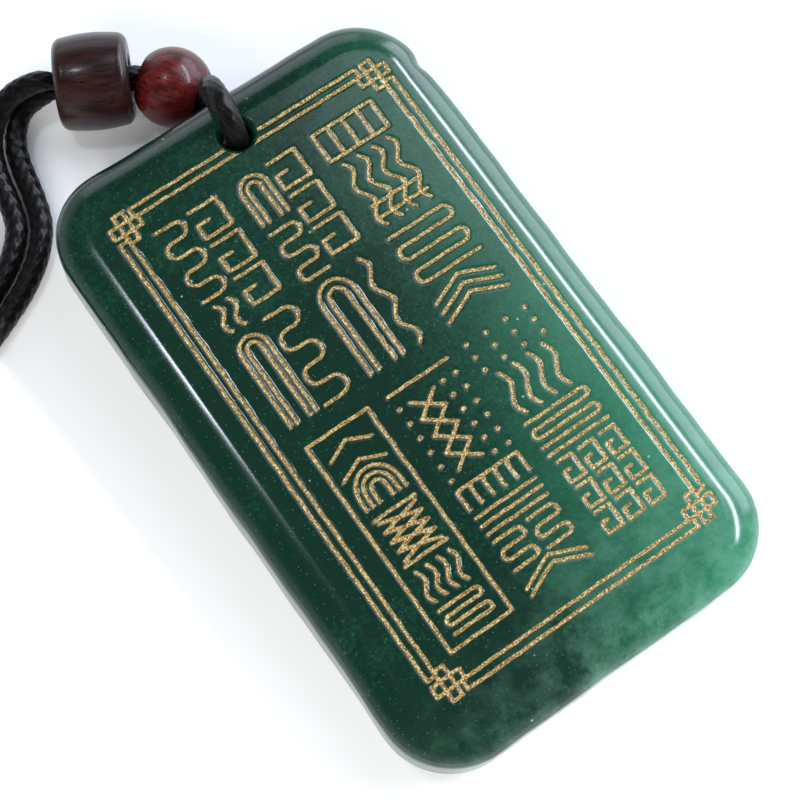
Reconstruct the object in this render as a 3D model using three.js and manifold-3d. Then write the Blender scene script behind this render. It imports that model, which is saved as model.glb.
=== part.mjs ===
// Carved stone pendant with two wooden beads on a braided cord, lying on its back.
// Millimetres. +Z is up out of the engraved face, +Y points to the end with the hole.
// The origin is under the middle of the tablet, on the surface that the pendant lies on.
import * as THREE from 'three';
import { mergeVertices } from 'three/addons/utils/BufferGeometryUtils.js';
import Module from 'manifold-3d';

const wasm = await Module();
wasm.setup();

// Tablet: a rounded slab with a curved bevel on both faces
const TABLET_WIDTH = 35.3;
const TABLET_LENGTH = 58;
const TABLET_THICKNESS = 7;
const CORNER_RADIUS = 6.3;
const BEVEL_WIDTH = 3;
const BEVEL_DROP = 1.7;
const HOLE_DIAMETER = 2.8;
const HOLE_RIM = 0.35;
const HOLE_X = 0.45;
const HOLE_FROM_TOP = 4.25;

// Engraving: gilded grooves, the border set in from the tablet's four edges
const GROOVE_WIDTH = 0.48;
const GROOVE_DEPTH = 0.25;
const BORDER_FROM_LEFT = 4.77;
const BORDER_FROM_RIGHT = 3.47;
const BORDER_FROM_TOP = 4.9;
const BORDER_FROM_BOTTOM = 5.4;
const BORDER_LINE_GAP = 0.83;
const BORDER_LINE_STOP = 2.27;
const KNOT_CELL = 0.9;
const FIELD_MARGIN_X = 2;
const FIELD_MARGIN_Y = 2.2;
const COLUMN_GAP = 1.9;
const ROW_GAP = 2.1;
const DOT_DIAMETER = 0.62;
const BEND_STEPS = 1.5;
const WAVE_BEND = 1.6;
const WAVE_SWING_SHARE = 0.3;
const WAVE_SWING_MOST = 0.42;
const FRET_SIDE_SHARE = 0.78;
const FRET_CORE_SHARE = 0.42;
const CHEVRON_RISE_SHARE = 0.22;
const DOT_PITCH = 1.3;

// Cord: one limp braid, doubled through the tablet's hole
const CORD_DIAMETER = 2;
const SQUEEZED_DIAMETER = 1.5;
const STRAND_GAP = 0.15;
const UNDER_GAP = 0.3;
const TOUCH_GAP = 0.3;

// Beads, both bored for the two strands
const BORE_CLEARANCE = 0.24;
const BORE_CHAMFER = 0.35;
const ROUND_BEAD_DIAMETER = 7;
const BARREL_DIAMETER = 8.4;
const BARREL_LENGTH = 6.4;
const BARREL_SHOULDER = 0.9;
const BARREL_SWELL = 0.2;
const FLAT_SPOT_DEPTH = 0.06;

// Coil, its tie and the knot at the cord's far end
const COIL_OUTER_TURN_RADIUS = 15.6;
const COIL_TURNS_PER_LAYER = 2;
const COIL_LAYERS = 2;
const COIL_SKIN = 0.1;
const COIL_EDGE = 0.7;
const TIE_THICKNESS = 0.3;
const TIE_GAP = 0.15;
const TIE_WIDTH = 3;
const TIE_ANGLE = 75;
const KNOT_RADIUS = 3;
const KNOT_WRAPS = 3;

// Steps of the round shapes
const CORD_SIDES = 8;
const BEAD_SIDES = 18;
const BEAD_STEPS = 10;
const SHOULDER_STEPS = 4;
const CORNER_STEPS = 6;
const BEVEL_STEPS = 4;
const DOT_STEPS = 2;
const KNOT_SIDES = 10;
const COIL_SIDES = 32;
const KNOT_WRAP_ANGLES = [-70, -35, 0, 35, 70];

// Where one shape cuts another it runs on this far past the face, and corners nearer than the weld are one
const CUT_OVERRUN = 0.5;
const WELD = 1e-4;

// Worked out from the sizes above
const FLOOR_TO_BACK_AT_HOLE = CORD_DIAMETER + UNDER_GAP;
const HOLE_Y = TABLET_LENGTH / 2 - HOLE_FROM_TOP;
const REST_EDGE_Y = -TABLET_LENGTH / 2 + BEVEL_WIDTH;
const TILT = Math.asin(FLOOR_TO_BACK_AT_HOLE / (HOLE_Y - REST_EDGE_Y));
const STRAND_SPACING = CORD_DIAMETER + STRAND_GAP;
const SQUEEZED_SPACING = SQUEEZED_DIAMETER + STRAND_GAP;
const BORE_RADIUS = (SQUEEZED_DIAMETER + SQUEEZED_SPACING) / 2 + BORE_CLEARANCE;

// The cord's route, chosen by hand. Each strand has its own points from the hole to the round bead.
// The last number is how far the soft braid is squeezed, from 0 outside to 1 inside the beads' bores.
const FRONT_START = [
  [0.42, 24.52, 6.1, 0],
  [0.42, 24.47, 7.6, 0],
  [0.41, 24.62, 9.05, 0],
  [0.48, 25.4, 10.22, 0],
  [0.62, 26.65, 10.72, 0],
  [0.82, 27.95, 10.45, 0],
  [1.02, 29.05, 9.65, 0],
  [1.24, 29.98, 8.3, 0],
  [1.38, 30.44, 6.9, 0.1],
  [1.42, 30.72, 5.7, 0.4],
  [1.38, 31.08, 4.85, 0.8],
  [1.16, 31.8, 4.4, 1],
  [0.75, 32.5, 4.27, 1],
  [0.2, 33.3, 4.27, 1],
];
const BACK_START = [
  [0.4, 24.5, 5.4, 0],
  [0.4, 24.55, 3.9, 0],
  [0.42, 24.85, 2.35, 0],
  [0.5, 25.7, 1.3, 0],
  [0.66, 27.0, 1.03, 0],
  [0.86, 28.4, 1.05, 0],
  [1.08, 29.7, 1.25, 0.1],
  [1.28, 30.8, 1.85, 0.6],
  [1.19, 31.75, 2.45, 1],
  [0.75, 32.5, 2.63, 1],
  [0.2, 33.3, 2.61, 1],
];
// Middle of the two strands: x, y, z, the turn in degrees from one above the other to side by side,
// and the squeeze
const PAIR_ROUTE = [
  [-0.3, 34.05, 3.44, 0, 1],
  [-1.55, 35.8, 3.47, 0, 1],
  [-2.93, 36.62, 3.94, 0, 1],
  [-5.75, 38.07, 4.14, 0, 1],
  [-8.58, 39.57, 4.14, 0, 1],
  [-9.75, 40.12, 4.1, 4, 0.2],
  [-11.6, 40.5, 3.55, 16, 0],
  [-12.65, 40.35, 3.18, 27, 0],
  [-13.6, 39.9, 2.75, 40, 0],
  [-14.5, 39.13, 2.3, 53, 0],
  [-15.2, 38.2, 1.9, 65, 0],
  [-15.67, 37.08, 1.53, 76, 0],
  [-16.0, 35.9, 1.25, 85, 0],
  [-16.5, 33.4, 1.02, 90, 0],
  [-17.3, 31.0, 1.02, 90, 0],
  [-18.9, 29.0, 1.02, 90, 0],
  [-21.0, 27.4, 1.02, 90, 0],
  [-23.6, 26.0, 1.1, 90, 0],
  [-26.8, 24.5, 1.3, 90, 0],
  [-30.2, 22.9, 1.45, 90, 0],
  [-33.9, 21.2, 1.45, 90, 0],
];
// From the coil's upper layer to the knot
const TAIL_ROUTE = [
  [-33.9, 21.2, 3.6, 90, 0],
  [-38.0, 19.3, 3.55, 90, 0],
  [-42.0, 17.5, 3.2, 90, 0],
  [-45.7, 15.8, 3.0, 90, 0],
];
const ROUND_BEAD_AT = PAIR_ROUTE[0];
const ROUND_BEAD_HEADING = 125;
const BARREL_AT = PAIR_ROUTE[3];
const BARREL_HEADING = 152;

// A closed geometry as a solid for cutting and joining
function toSolid(geometry) {
  const bare = geometry.clone();
  bare.deleteAttribute('normal');
  bare.deleteAttribute('uv');
  const merged = mergeVertices(bare, WELD);
  return new wasm.Manifold(new wasm.Mesh({
    numProp: 3,
    vertProperties: Float32Array.from(merged.attributes.position.array),
    triVerts: Uint32Array.from(merged.index.array),
  }));
}

// The solid's triangles back as a geometry
function toGeometry(solid) {
  const mesh = solid.getMesh();
  const geometry = new THREE.BufferGeometry();
  geometry.setAttribute('position', new THREE.BufferAttribute(Float32Array.from(mesh.vertProperties), 3));
  geometry.setIndex(new THREE.BufferAttribute(Uint32Array.from(mesh.triVerts), 1));
  return geometry;
}

function finish(color, roughness, metalness = 0) {
  return new THREE.MeshStandardMaterial({ color, roughness, metalness, flatShading: true });
}

function namedMesh(name, geometry, material) {
  const mesh = new THREE.Mesh(geometry, material);
  mesh.name = name;
  return mesh;
}

// Outline of a box with rounded corners, about its middle
function roundedOutline(width, length, radius) {
  const shape = new THREE.Shape();
  const x = width / 2 - radius;
  const y = length / 2 - radius;
  shape.absarc(x, y, radius, 0, Math.PI / 2);
  shape.absarc(-x, y, radius, Math.PI / 2, Math.PI);
  shape.absarc(-x, -y, radius, Math.PI, Math.PI * 1.5);
  shape.absarc(x, -y, radius, Math.PI * 1.5, Math.PI * 2);
  return shape;
}

// The slab with its elliptical bevels, back face at z = 0
function slab() {
  const geometry = new THREE.ExtrudeGeometry(
    roundedOutline(TABLET_WIDTH, TABLET_LENGTH, CORNER_RADIUS),
    {
      depth: TABLET_THICKNESS - 2 * BEVEL_DROP,
      bevelThickness: BEVEL_DROP,
      bevelSize: BEVEL_WIDTH,
      bevelOffset: -BEVEL_WIDTH,
      bevelSegments: BEVEL_STEPS,
      curveSegments: CORNER_STEPS,
    },
  );
  geometry.translate(0, 0, BEVEL_DROP);
  return geometry;
}

// The drill with a flare at each face
function drill() {
  const r = HOLE_DIAMETER / 2;
  const profile = [
    [0, -CUT_OVERRUN],
    [r + HOLE_RIM + CUT_OVERRUN, -CUT_OVERRUN],
    [r, HOLE_RIM],
    [r, TABLET_THICKNESS - HOLE_RIM],
    [r + HOLE_RIM + CUT_OVERRUN, TABLET_THICKNESS + CUT_OVERRUN],
    [0, TABLET_THICKNESS + CUT_OVERRUN],
  ].map(([x, y]) => new THREE.Vector2(x, y));
  const geometry = new THREE.LatheGeometry(profile, BEAD_SIDES);
  geometry.rotateX(Math.PI / 2);
  geometry.translate(HOLE_X, HOLE_Y, 0);
  return geometry;
}

// A box on the face: left, right, bottom, top
function boxOf(left, right, bottom, top) {
  return { left, right, bottom, top };
}

// Part of a box, by shares from its left and from its top
function partOf(box, x0, x1, y0, y1) {
  const width = box.right - box.left;
  const height = box.top - box.bottom;
  return boxOf(box.left + x0 * width, box.left + x1 * width, box.top - y1 * height, box.top - y0 * height);
}

// Points of an arc, angles in quarter turns
function arc(x, y, radius, from, to) {
  const steps = Math.ceil(Math.abs(to - from) * BEND_STEPS);
  const points = [];
  for (let i = 0; i <= steps; i += 1) {
    const angle = (from + (to - from) * i / steps) * Math.PI / 2;
    points.push([x + radius * Math.cos(angle), y + radius * Math.sin(angle)]);
  }
  return points;
}

// A line that runs to and fro down the box, with round bends
function meander(box, runs) {
  const pitch = (box.top - box.bottom) / (runs - 1);
  const radius = pitch / 2;
  const line = [[box.left, box.top]];
  for (let i = 0; i < runs - 1; i += 1) {
    const y = box.top - pitch * (i + 0.5);
    const toRight = i % 2 === 0;
    const bend = toRight ? arc(box.right - radius, y, radius, 1, -1) : arc(box.left + radius, y, radius, 1, 3);
    line.push(...bend);
  }
  line.push([runs % 2 === 1 ? box.right : box.left, box.bottom]);
  return [line];
}

// Arches one inside the other, open at the bottom
function hairpins(box, count) {
  const middle = (box.left + box.right) / 2;
  const half = (box.right - box.left) / 2;
  const lines = [];
  for (let i = 0; i < count; i += 1) {
    const radius = half * (count - i) / count;
    const y = box.top - half;
    lines.push([
      [middle + radius, box.bottom],
      ...arc(middle, y, radius, 0, 2),
      [middle - radius, box.bottom],
    ]);
  }
  return lines;
}

// Square spirals set one above the other
function frets(box, count) {
  const pitch = (box.top - box.bottom) / count;
  const side = pitch * FRET_SIDE_SHARE;
  const lines = [];
  for (let i = 0; i < count; i += 1) {
    const top = box.top - pitch * i;
    const bottom = top - side;
    const middle = (top + bottom) / 2;
    const inner = box.left + (box.right - box.left) * FRET_CORE_SHARE;
    lines.push([
      [box.left, top],
      [box.right, top],
      [box.right, bottom],
      [box.left, bottom],
      [box.left, middle],
      [inner, middle],
    ]);
  }
  return lines;
}

// Wavy lines running down the box, side by side
function waves(box, count) {
  const pitch = (box.right - box.left) / count;
  const swing = Math.min(pitch * WAVE_SWING_SHARE, WAVE_SWING_MOST);
  const bends = Math.round((box.top - box.bottom) / WAVE_BEND);
  const steps = bends * 2;
  const lines = [];
  for (let i = 0; i < count; i += 1) {
    const x = box.left + pitch * (i + 0.5);
    const line = [];
    for (let k = 0; k <= steps; k += 1) {
      const y = box.top - (box.top - box.bottom) * k / steps;
      line.push([x + swing * Math.sin(Math.PI * bends * k / steps), y]);
    }
    lines.push(line);
  }
  return lines;
}

// Level bars
function bars(box, count) {
  const lines = [];
  for (let i = 0; i < count; i += 1) {
    const y = count === 1 ? box.top : box.top - (box.top - box.bottom) * i / (count - 1);
    lines.push([[box.left, y], [box.right, y]]);
  }
  return lines;
}

// Two zigzags that cross, so that they make a chain of lozenges
function lattice(box, count) {
  const steps = count * 2;
  const lines = [[], []];
  for (let k = 0; k <= steps; k += 1) {
    const y = box.top - (box.top - box.bottom) * k / steps;
    lines[0].push([k % 2 ? box.right : box.left, y]);
    lines[1].push([k % 2 ? box.left : box.right, y]);
  }
  return lines;
}

// Roof lines one below the other
function chevrons(box, count) {
  const middle = (box.left + box.right) / 2;
  const rise = (box.right - box.left) * CHEVRON_RISE_SHARE;
  const lines = [];
  for (let i = 0; i < count; i += 1) {
    const y = box.top - (box.top - box.bottom - rise) * (count === 1 ? 0 : i / (count - 1));
    lines.push([[box.left, y - rise], [middle, y], [box.right, y - rise]]);
  }
  return lines;
}

// A bar with teeth hanging from it
function comb(box, count) {
  const lines = [[[box.left, box.top], [box.right, box.top]]];
  for (let i = 0; i < count; i += 1) {
    const x = box.left + (box.right - box.left) * i / (count - 1);
    lines.push([[x, box.top], [x, box.bottom]]);
  }
  return lines;
}

// The outline of the box itself
function frame(box) {
  return [[
    [box.left, box.bottom],
    [box.right, box.bottom],
    [box.right, box.top],
    [box.left, box.top],
    [box.left, box.bottom],
  ]];
}

// Round dots in rows and columns, each as a very short line
function dots(box, count) {
  const rows = Math.max(2, Math.round((box.top - box.bottom) / DOT_PITCH) + 1);
  const lines = [];
  for (let i = 0; i < count; i += 1) {
    const x = count === 1 ? (box.left + box.right) / 2 : box.left + (box.right - box.left) * i / (count - 1);
    for (let k = 0; k < rows; k += 1) {
      lines.push([[x, box.top - (box.top - box.bottom) * k / (rows - 1)]]);
    }
  }
  return lines;
}

// Motifs of the six fields: what, how many, then left, right, top and bottom as shares of the field
const FIELDS = [
  { column: 0, row: 0, motifs: [
    [meander, 6, 0, 0.42, 0, 0.36],
    [frets, 3, 0.56, 1, 0, 0.52],
    [waves, 2, 0, 0.42, 0.4, 0.53],
    [hairpins, 2, 0, 0.42, 0.58, 1],
    [meander, 6, 0.56, 1, 0.56, 1],
  ] },
  { column: 1, row: 0, motifs: [
    [hairpins, 2, 0, 0.42, 0, 0.22],
    [meander, 5, 0, 0.42, 0.27, 0.52],
    [frets, 3, 0.56, 1, 0, 0.52],
    [hairpins, 2, 0, 0.54, 0.57, 1],
    [waves, 1, 0.64, 1, 0.56, 1],
  ] },
  { column: 2, row: 0, motifs: [
    [comb, 5, 0, 1, 0, 0.14],
    [bars, 1, 0, 1, 0.14, 0.14],
    [waves, 4, 0, 1, 0.18, 0.5],
    [bars, 2, 0.1, 0.9, 0.4, 0.46],
    [meander, 5, 0, 1, 0.56, 0.8],
    [chevrons, 3, 0, 1, 0.84, 1],
  ] },
  { column: 0, row: 1, motifs: [
    [frame, 1, 0, 1, 0, 1],
    [chevrons, 2, 0.16, 0.84, 0.06, 0.2],
    [hairpins, 3, 0.18, 0.82, 0.2, 0.35],
    [bars, 1, 0.16, 0.84, 0.4, 0.4],
    [lattice, 2, 0.2, 0.8, 0.42, 0.6],
    [bars, 1, 0.16, 0.84, 0.62, 0.62],
    [waves, 4, 0.14, 0.86, 0.66, 0.8],
    [meander, 4, 0.18, 0.82, 0.84, 0.95],
  ] },
  { column: 1, row: 1, motifs: [
    [bars, 1, 0, 1, 0.01, 0.01],
    [dots, 1, 0, 0.06, 0.08, 0.44],
    [lattice, 2, 0.2, 0.6, 0.08, 0.42],
    [dots, 2, 0.76, 0.98, 0.08, 0.44],
    [comb, 6, 0, 1, 0.49, 0.58],
    [bars, 3, 0, 1, 0.62, 0.7],
    [meander, 4, 0, 0.44, 0.74, 0.88],
    [meander, 4, 0.56, 1, 0.74, 0.88],
    [chevrons, 2, 0, 1, 0.9, 1],
  ] },
  { column: 2, row: 1, motifs: [
    [dots, 4, 0, 1, 0.01, 0.14],
    [waves, 4, 0, 1, 0.18, 0.38],
    [meander, 4, 0, 1, 0.42, 0.54],
    [bars, 1, 0, 1, 0.58, 0.58],
    [frets, 3, 0.04, 0.28, 0.62, 1],
    [frets, 3, 0.4, 0.64, 0.62, 1],
    [frets, 3, 0.76, 1, 0.62, 1],
  ] },
];

// The border's outer line
function borderBox() {
  return boxOf(
    -TABLET_WIDTH / 2 + BORDER_FROM_LEFT,
    TABLET_WIDTH / 2 - BORDER_FROM_RIGHT,
    -TABLET_LENGTH / 2 + BORDER_FROM_BOTTOM,
    TABLET_LENGTH / 2 - BORDER_FROM_TOP,
  );
}

// Four long closed loops, one for each side of the double border, ending short of the corner knots
function borderLines() {
  const outer = borderBox();
  const stop = BORDER_LINE_STOP;
  const g = BORDER_LINE_GAP;
  return [
    boxOf(outer.left + stop, outer.right - stop, outer.top - g, outer.top),
    boxOf(outer.left + stop, outer.right - stop, outer.bottom, outer.bottom + g),
    boxOf(outer.left, outer.left + g, outer.bottom + stop, outer.top - stop),
    boxOf(outer.right - g, outer.right, outer.bottom + stop, outer.top - stop),
  ].flatMap((box) => frame(box));
}

// An endless knot at each corner, three cells each way: two long loops that cross at the border's corner
function cornerKnots() {
  const outer = borderBox();
  const inset = 1.5 * BORDER_LINE_GAP;
  const short = KNOT_CELL / 2;
  const long = 3 * KNOT_CELL / 2;
  const lines = [];
  for (const x of [outer.left + inset, outer.right - inset]) {
    for (const y of [outer.bottom + inset, outer.top - inset]) {
      lines.push(...frame(boxOf(x - long, x + long, y - short, y + short)));
      lines.push(...frame(boxOf(x - short, x + short, y - long, y + long)));
    }
  }
  return lines;
}

// The strokes of the six fields inside the border
function fieldLines() {
  const outer = borderBox();
  const left = outer.left + BORDER_LINE_GAP + FIELD_MARGIN_X;
  const right = outer.right - BORDER_LINE_GAP - FIELD_MARGIN_X;
  const bottom = outer.bottom + BORDER_LINE_GAP + FIELD_MARGIN_Y;
  const top = outer.top - BORDER_LINE_GAP - FIELD_MARGIN_Y;
  const width = (right - left - 2 * COLUMN_GAP) / 3;
  const height = (top - bottom - ROW_GAP) / 2;
  return FIELDS.flatMap(({ column, row, motifs }) => {
    const x = left + column * (width + COLUMN_GAP);
    const y = top - row * (height + ROW_GAP);
    const field = boxOf(x, x + width, y - height, y);
    return motifs.flatMap(([motif, count, x0, x1, y0, y1]) => motif(partOf(field, x0, x1, y0, y1), count));
  });
}

// Points beside a line, at half the groove's width, with mitred corners
function beside(line, offset, closed) {
  const n = line.length;
  return line.map((point, i) => {
    const before = i > 0 ? line[i - 1] : (closed ? line[n - 1] : point);
    const after = i < n - 1 ? line[i + 1] : (closed ? line[0] : point);
    const a = new THREE.Vector2(point[0] - before[0], point[1] - before[1]).normalize();
    const b = new THREE.Vector2(after[0] - point[0], after[1] - point[1]).normalize();
    const along = a.clone().add(b).normalize();
    const reach = offset / Math.max(0.5, along.dot(b.length() ? b : a));
    return new THREE.Vector2(point[0] - along.y * reach, point[1] + along.x * reach);
  });
}

// The outline of one groove: a dot, an open line or a closed loop
function grooveShape(line) {
  const half = GROOVE_WIDTH / 2;
  if (line.length === 1) {
    const dot = new THREE.Shape();
    dot.absarc(line[0][0], line[0][1], DOT_DIAMETER / 2, 0, Math.PI * 2);
    return dot;
  }
  const first = line[0];
  const last = line[line.length - 1];
  const closed = Math.hypot(first[0] - last[0], first[1] - last[1]) < WELD;
  if (closed) {
    const ring = line.slice(0, -1);
    const shape = new THREE.Shape(beside(ring, -half, true));
    shape.holes.push(new THREE.Path(beside(ring, half, true)));
    return shape;
  }
  return new THREE.Shape([...beside(line, half, false), ...beside(line, -half, false).reverse()]);
}

// All grooves as one cutter that reaches just past the face
function grooves() {
  const pieces = [...borderLines(), ...cornerKnots(), ...fieldLines()].map((line) => {
    const geometry = new THREE.ExtrudeGeometry(
      grooveShape(line),
      { depth: GROOVE_DEPTH + CUT_OVERRUN, bevelEnabled: false, curveSegments: DOT_STEPS },
    );
    geometry.translate(0, 0, TABLET_THICKNESS - GROOVE_DEPTH);
    return toSolid(geometry);
  });
  return pieces.reduce((all, piece) => all.add(piece));
}

function tablet() {
  const carved = toSolid(slab()).subtract(grooves()).subtract(toSolid(drill()));
  const stone = namedMesh('tablet', toGeometry(carved), finish('#1f6344', 0.2));
  const rest = new THREE.Group();
  rest.add(stone);
  rest.rotation.x = TILT;
  rest.position.set(0, TABLET_THICKNESS * Math.sin(TILT) / 2, -REST_EDGE_Y * Math.sin(TILT));
  return rest;
}

// A bead turned about its bore, the profile running from one end to the other
function turnedBead(outside, halfLength) {
  const mouth = BORE_RADIUS + BORE_CHAMFER;
  const profile = [
    ...outside,
    [mouth, halfLength],
    [BORE_RADIUS, halfLength - BORE_CHAMFER],
    [BORE_RADIUS, -halfLength + BORE_CHAMFER],
    [mouth, -halfLength],
  ];
  profile.push(profile[0]);
  return new THREE.LatheGeometry(profile.map(([x, y]) => new THREE.Vector2(x, y)), BEAD_SIDES);
}

// Laid with its bore level, turned to its heading, and its underside cut to a small flat spot
function laidBead(geometry, radius, at, heading) {
  geometry.rotateZ(-Math.PI / 2);
  geometry.rotateZ(heading * Math.PI / 180);
  geometry.translate(at[0], at[1], radius - FLAT_SPOT_DEPTH);
  const below = new THREE.BoxGeometry(4 * radius, 4 * radius, 2 * radius);
  below.translate(at[0], at[1], -radius);
  return toGeometry(toSolid(geometry).subtract(toSolid(below)));
}

function roundBead() {
  const radius = ROUND_BEAD_DIAMETER / 2;
  const mouth = BORE_RADIUS + BORE_CHAMFER;
  const end = Math.acos(mouth / radius);
  const outside = [];
  for (let i = 1; i < BEAD_STEPS; i += 1) {
    const angle = -end + 2 * end * i / BEAD_STEPS;
    outside.push([radius * Math.cos(angle), radius * Math.sin(angle)]);
  }
  const geometry = turnedBead(outside, radius * Math.sin(end));
  const laid = laidBead(geometry, radius, ROUND_BEAD_AT, ROUND_BEAD_HEADING);
  return namedMesh('round_bead', laid, finish('#4a1c1c', 0.3));
}

function barrelBead() {
  const radius = BARREL_DIAMETER / 2;
  const half = BARREL_LENGTH / 2;
  const side = radius - BARREL_SWELL;
  const outside = [];
  for (let i = 0; i <= SHOULDER_STEPS; i += 1) {
    const angle = -Math.PI / 2 * (1 - i / SHOULDER_STEPS);
    outside.push([
      side - BARREL_SHOULDER + BARREL_SHOULDER * Math.cos(angle),
      -half + BARREL_SHOULDER + BARREL_SHOULDER * Math.sin(angle),
    ]);
  }
  outside.push([radius - BARREL_SWELL / 4, -half / 4], [radius, 0], [radius - BARREL_SWELL / 4, half / 4]);
  for (let i = 0; i <= SHOULDER_STEPS; i += 1) {
    const angle = Math.PI / 2 * i / SHOULDER_STEPS;
    outside.push([
      side - BARREL_SHOULDER + BARREL_SHOULDER * Math.cos(angle),
      half - BARREL_SHOULDER + BARREL_SHOULDER * Math.sin(angle),
    ]);
  }
  const geometry = turnedBead(outside, half);
  const laid = laidBead(geometry, radius, BARREL_AT, BARREL_HEADING);
  return namedMesh('barrel_bead', laid, finish('#33201f', 0.3));
}

// Between two sizes by the squeeze
function squeezed(loose, tight, squeeze) {
  return loose + (tight - loose) * squeeze;
}

// One strand of the pair: side is 1 for the front strand and -1 for the back one
function strandPoints(route, side) {
  const centres = route.map(([x, y, z]) => new THREE.Vector3(x, y, z));
  const middle = new THREE.CatmullRomCurve3(centres, false, 'centripetal');
  return route.map(([x, y, z, turn, squeeze], i) => {
    const along = middle.getTangent(i / (route.length - 1));
    const right = new THREE.Vector2(along.y, -along.x).normalize();
    const angle = turn * Math.PI / 180;
    const reach = side * squeezed(STRAND_SPACING, SQUEEZED_SPACING, squeeze) / 2;
    return [
      x + reach * Math.sin(angle) * right.x,
      y + reach * Math.sin(angle) * right.y,
      z + reach * Math.cos(angle),
      squeeze,
    ];
  });
}

// A tube along the points, with one ring of corners at each and a point in the middle of each end
function cordTube(points) {
  const centres = points.map(([x, y, z]) => new THREE.Vector3(x, y, z));
  const path = new THREE.CatmullRomCurve3(centres, false, 'centripetal');
  const last = points.length - 1;
  const normal = new THREE.Vector3(1, 0, 0);
  const corners = [];
  points.forEach(([, , , squeeze], i) => {
    const along = path.getTangent(i / last);
    normal.addScaledVector(along, -normal.dot(along)).normalize();
    const across = new THREE.Vector3().crossVectors(along, normal);
    const radius = squeezed(CORD_DIAMETER, SQUEEZED_DIAMETER, squeeze) / 2;
    for (let k = 0; k < CORD_SIDES; k += 1) {
      const angle = 2 * Math.PI * k / CORD_SIDES;
      corners.push(centres[i].clone()
        .addScaledVector(normal, radius * Math.cos(angle))
        .addScaledVector(across, radius * Math.sin(angle)));
    }
  });
  corners.push(centres[0], centres[last]);
  const startMiddle = corners.length - 2;
  const endMiddle = corners.length - 1;
  const triangles = [];
  for (let k = 0; k < CORD_SIDES; k += 1) {
    const next = (k + 1) % CORD_SIDES;
    for (let i = 0; i < last; i += 1) {
      const [here, there] = [i * CORD_SIDES, (i + 1) * CORD_SIDES];
      triangles.push(here + k, here + next, there + next, here + k, there + next, there + k);
    }
    triangles.push(startMiddle, next, k, endMiddle, last * CORD_SIDES + k, last * CORD_SIDES + next);
  }
  const geometry = new THREE.BufferGeometry().setFromPoints(corners);
  geometry.setIndex(triangles);
  return geometry;
}

// Radii and height of the ring that the turns of the coil fill
function coilSize() {
  const inner = COIL_OUTER_TURN_RADIUS - STRAND_SPACING - 2 * STRAND_SPACING * COIL_TURNS_PER_LAYER;
  return {
    inner: inner - CORD_DIAMETER / 2 - COIL_SKIN,
    outer: COIL_OUTER_TURN_RADIUS + CORD_DIAMETER / 2 + COIL_SKIN,
    bottom: TIE_THICKNESS + TIE_GAP,
    height: COIL_LAYERS * STRAND_SPACING,
  };
}

// Middle of the coil: right of the route's end, so that the pair runs into the outer turn
function coilMiddle() {
  const [a, b] = [PAIR_ROUTE[PAIR_ROUTE.length - 2], PAIR_ROUTE[PAIR_ROUTE.length - 1]];
  const along = new THREE.Vector2(b[0] - a[0], b[1] - a[1]).normalize();
  const reach = COIL_OUTER_TURN_RADIUS - STRAND_SPACING / 2;
  return new THREE.Vector2(b[0] + along.y * reach, b[1] - along.x * reach);
}

// The coil's outer shape, larger all round by a gap where it cuts the strands
function coilRing(gap) {
  const { inner, outer, bottom, height } = coilSize();
  const profile = [
    [inner - gap, bottom + COIL_EDGE],
    [inner - gap + COIL_EDGE, bottom - gap],
    [outer + gap - COIL_EDGE, bottom - gap],
    [outer + gap, bottom + COIL_EDGE],
    [outer + gap, bottom + height - COIL_EDGE],
    [outer + gap - COIL_EDGE, bottom + height + gap],
    [inner - gap + COIL_EDGE, bottom + height + gap],
    [inner - gap, bottom + height - COIL_EDGE],
    [inner - gap, bottom + COIL_EDGE],
  ].map(([x, y]) => new THREE.Vector2(x, y));
  const geometry = new THREE.LatheGeometry(profile, COIL_SIDES);
  geometry.rotateX(Math.PI / 2);
  const middle = coilMiddle();
  geometry.translate(middle.x, middle.y, 0);
  return geometry;
}

function strandMesh(name, points) {
  const cut = toSolid(cordTube(points)).subtract(toSolid(coilRing(TOUCH_GAP)));
  return namedMesh(name, toGeometry(cut), finish('#151313', 0.7));
}

function strands() {
  return [
    strandMesh('front_strand', [...FRONT_START, ...strandPoints(PAIR_ROUTE, 1)]),
    strandMesh('back_strand', [...BACK_START, ...strandPoints(PAIR_ROUTE, -1)]),
    strandMesh('front_tail', strandPoints(TAIL_ROUTE, 1)),
    strandMesh('back_tail', strandPoints(TAIL_ROUTE, -1)),
  ];
}

// A flat band that passes once round the coil's section
function coilTie() {
  const { inner, outer, height } = coilSize();
  const skin = TIE_THICKNESS + TIE_GAP;
  const shape = new THREE.Shape();
  const hole = new THREE.Path();
  const innerFlat = Math.sqrt(inner ** 2 - (TIE_WIDTH / 2) ** 2);
  for (const [path, grow] of [[shape, skin], [hole, TIE_GAP]]) {
    path.moveTo(innerFlat - grow, -grow);
    path.lineTo(outer + grow, -grow);
    path.lineTo(outer + grow, height + grow);
    path.lineTo(innerFlat - grow, height + grow);
    path.closePath();
  }
  shape.holes.push(hole);
  const geometry = new THREE.ExtrudeGeometry(shape, { depth: TIE_WIDTH, bevelEnabled: false });
  geometry.translate(0, skin, -TIE_WIDTH / 2);
  geometry.rotateX(Math.PI / 2);
  geometry.rotateZ(TIE_ANGLE * Math.PI / 180);
  const middle = coilMiddle();
  geometry.translate(middle.x, middle.y, 0);
  return namedMesh('coil_tie', geometry, finish('#151313', 0.7));
}

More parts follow.
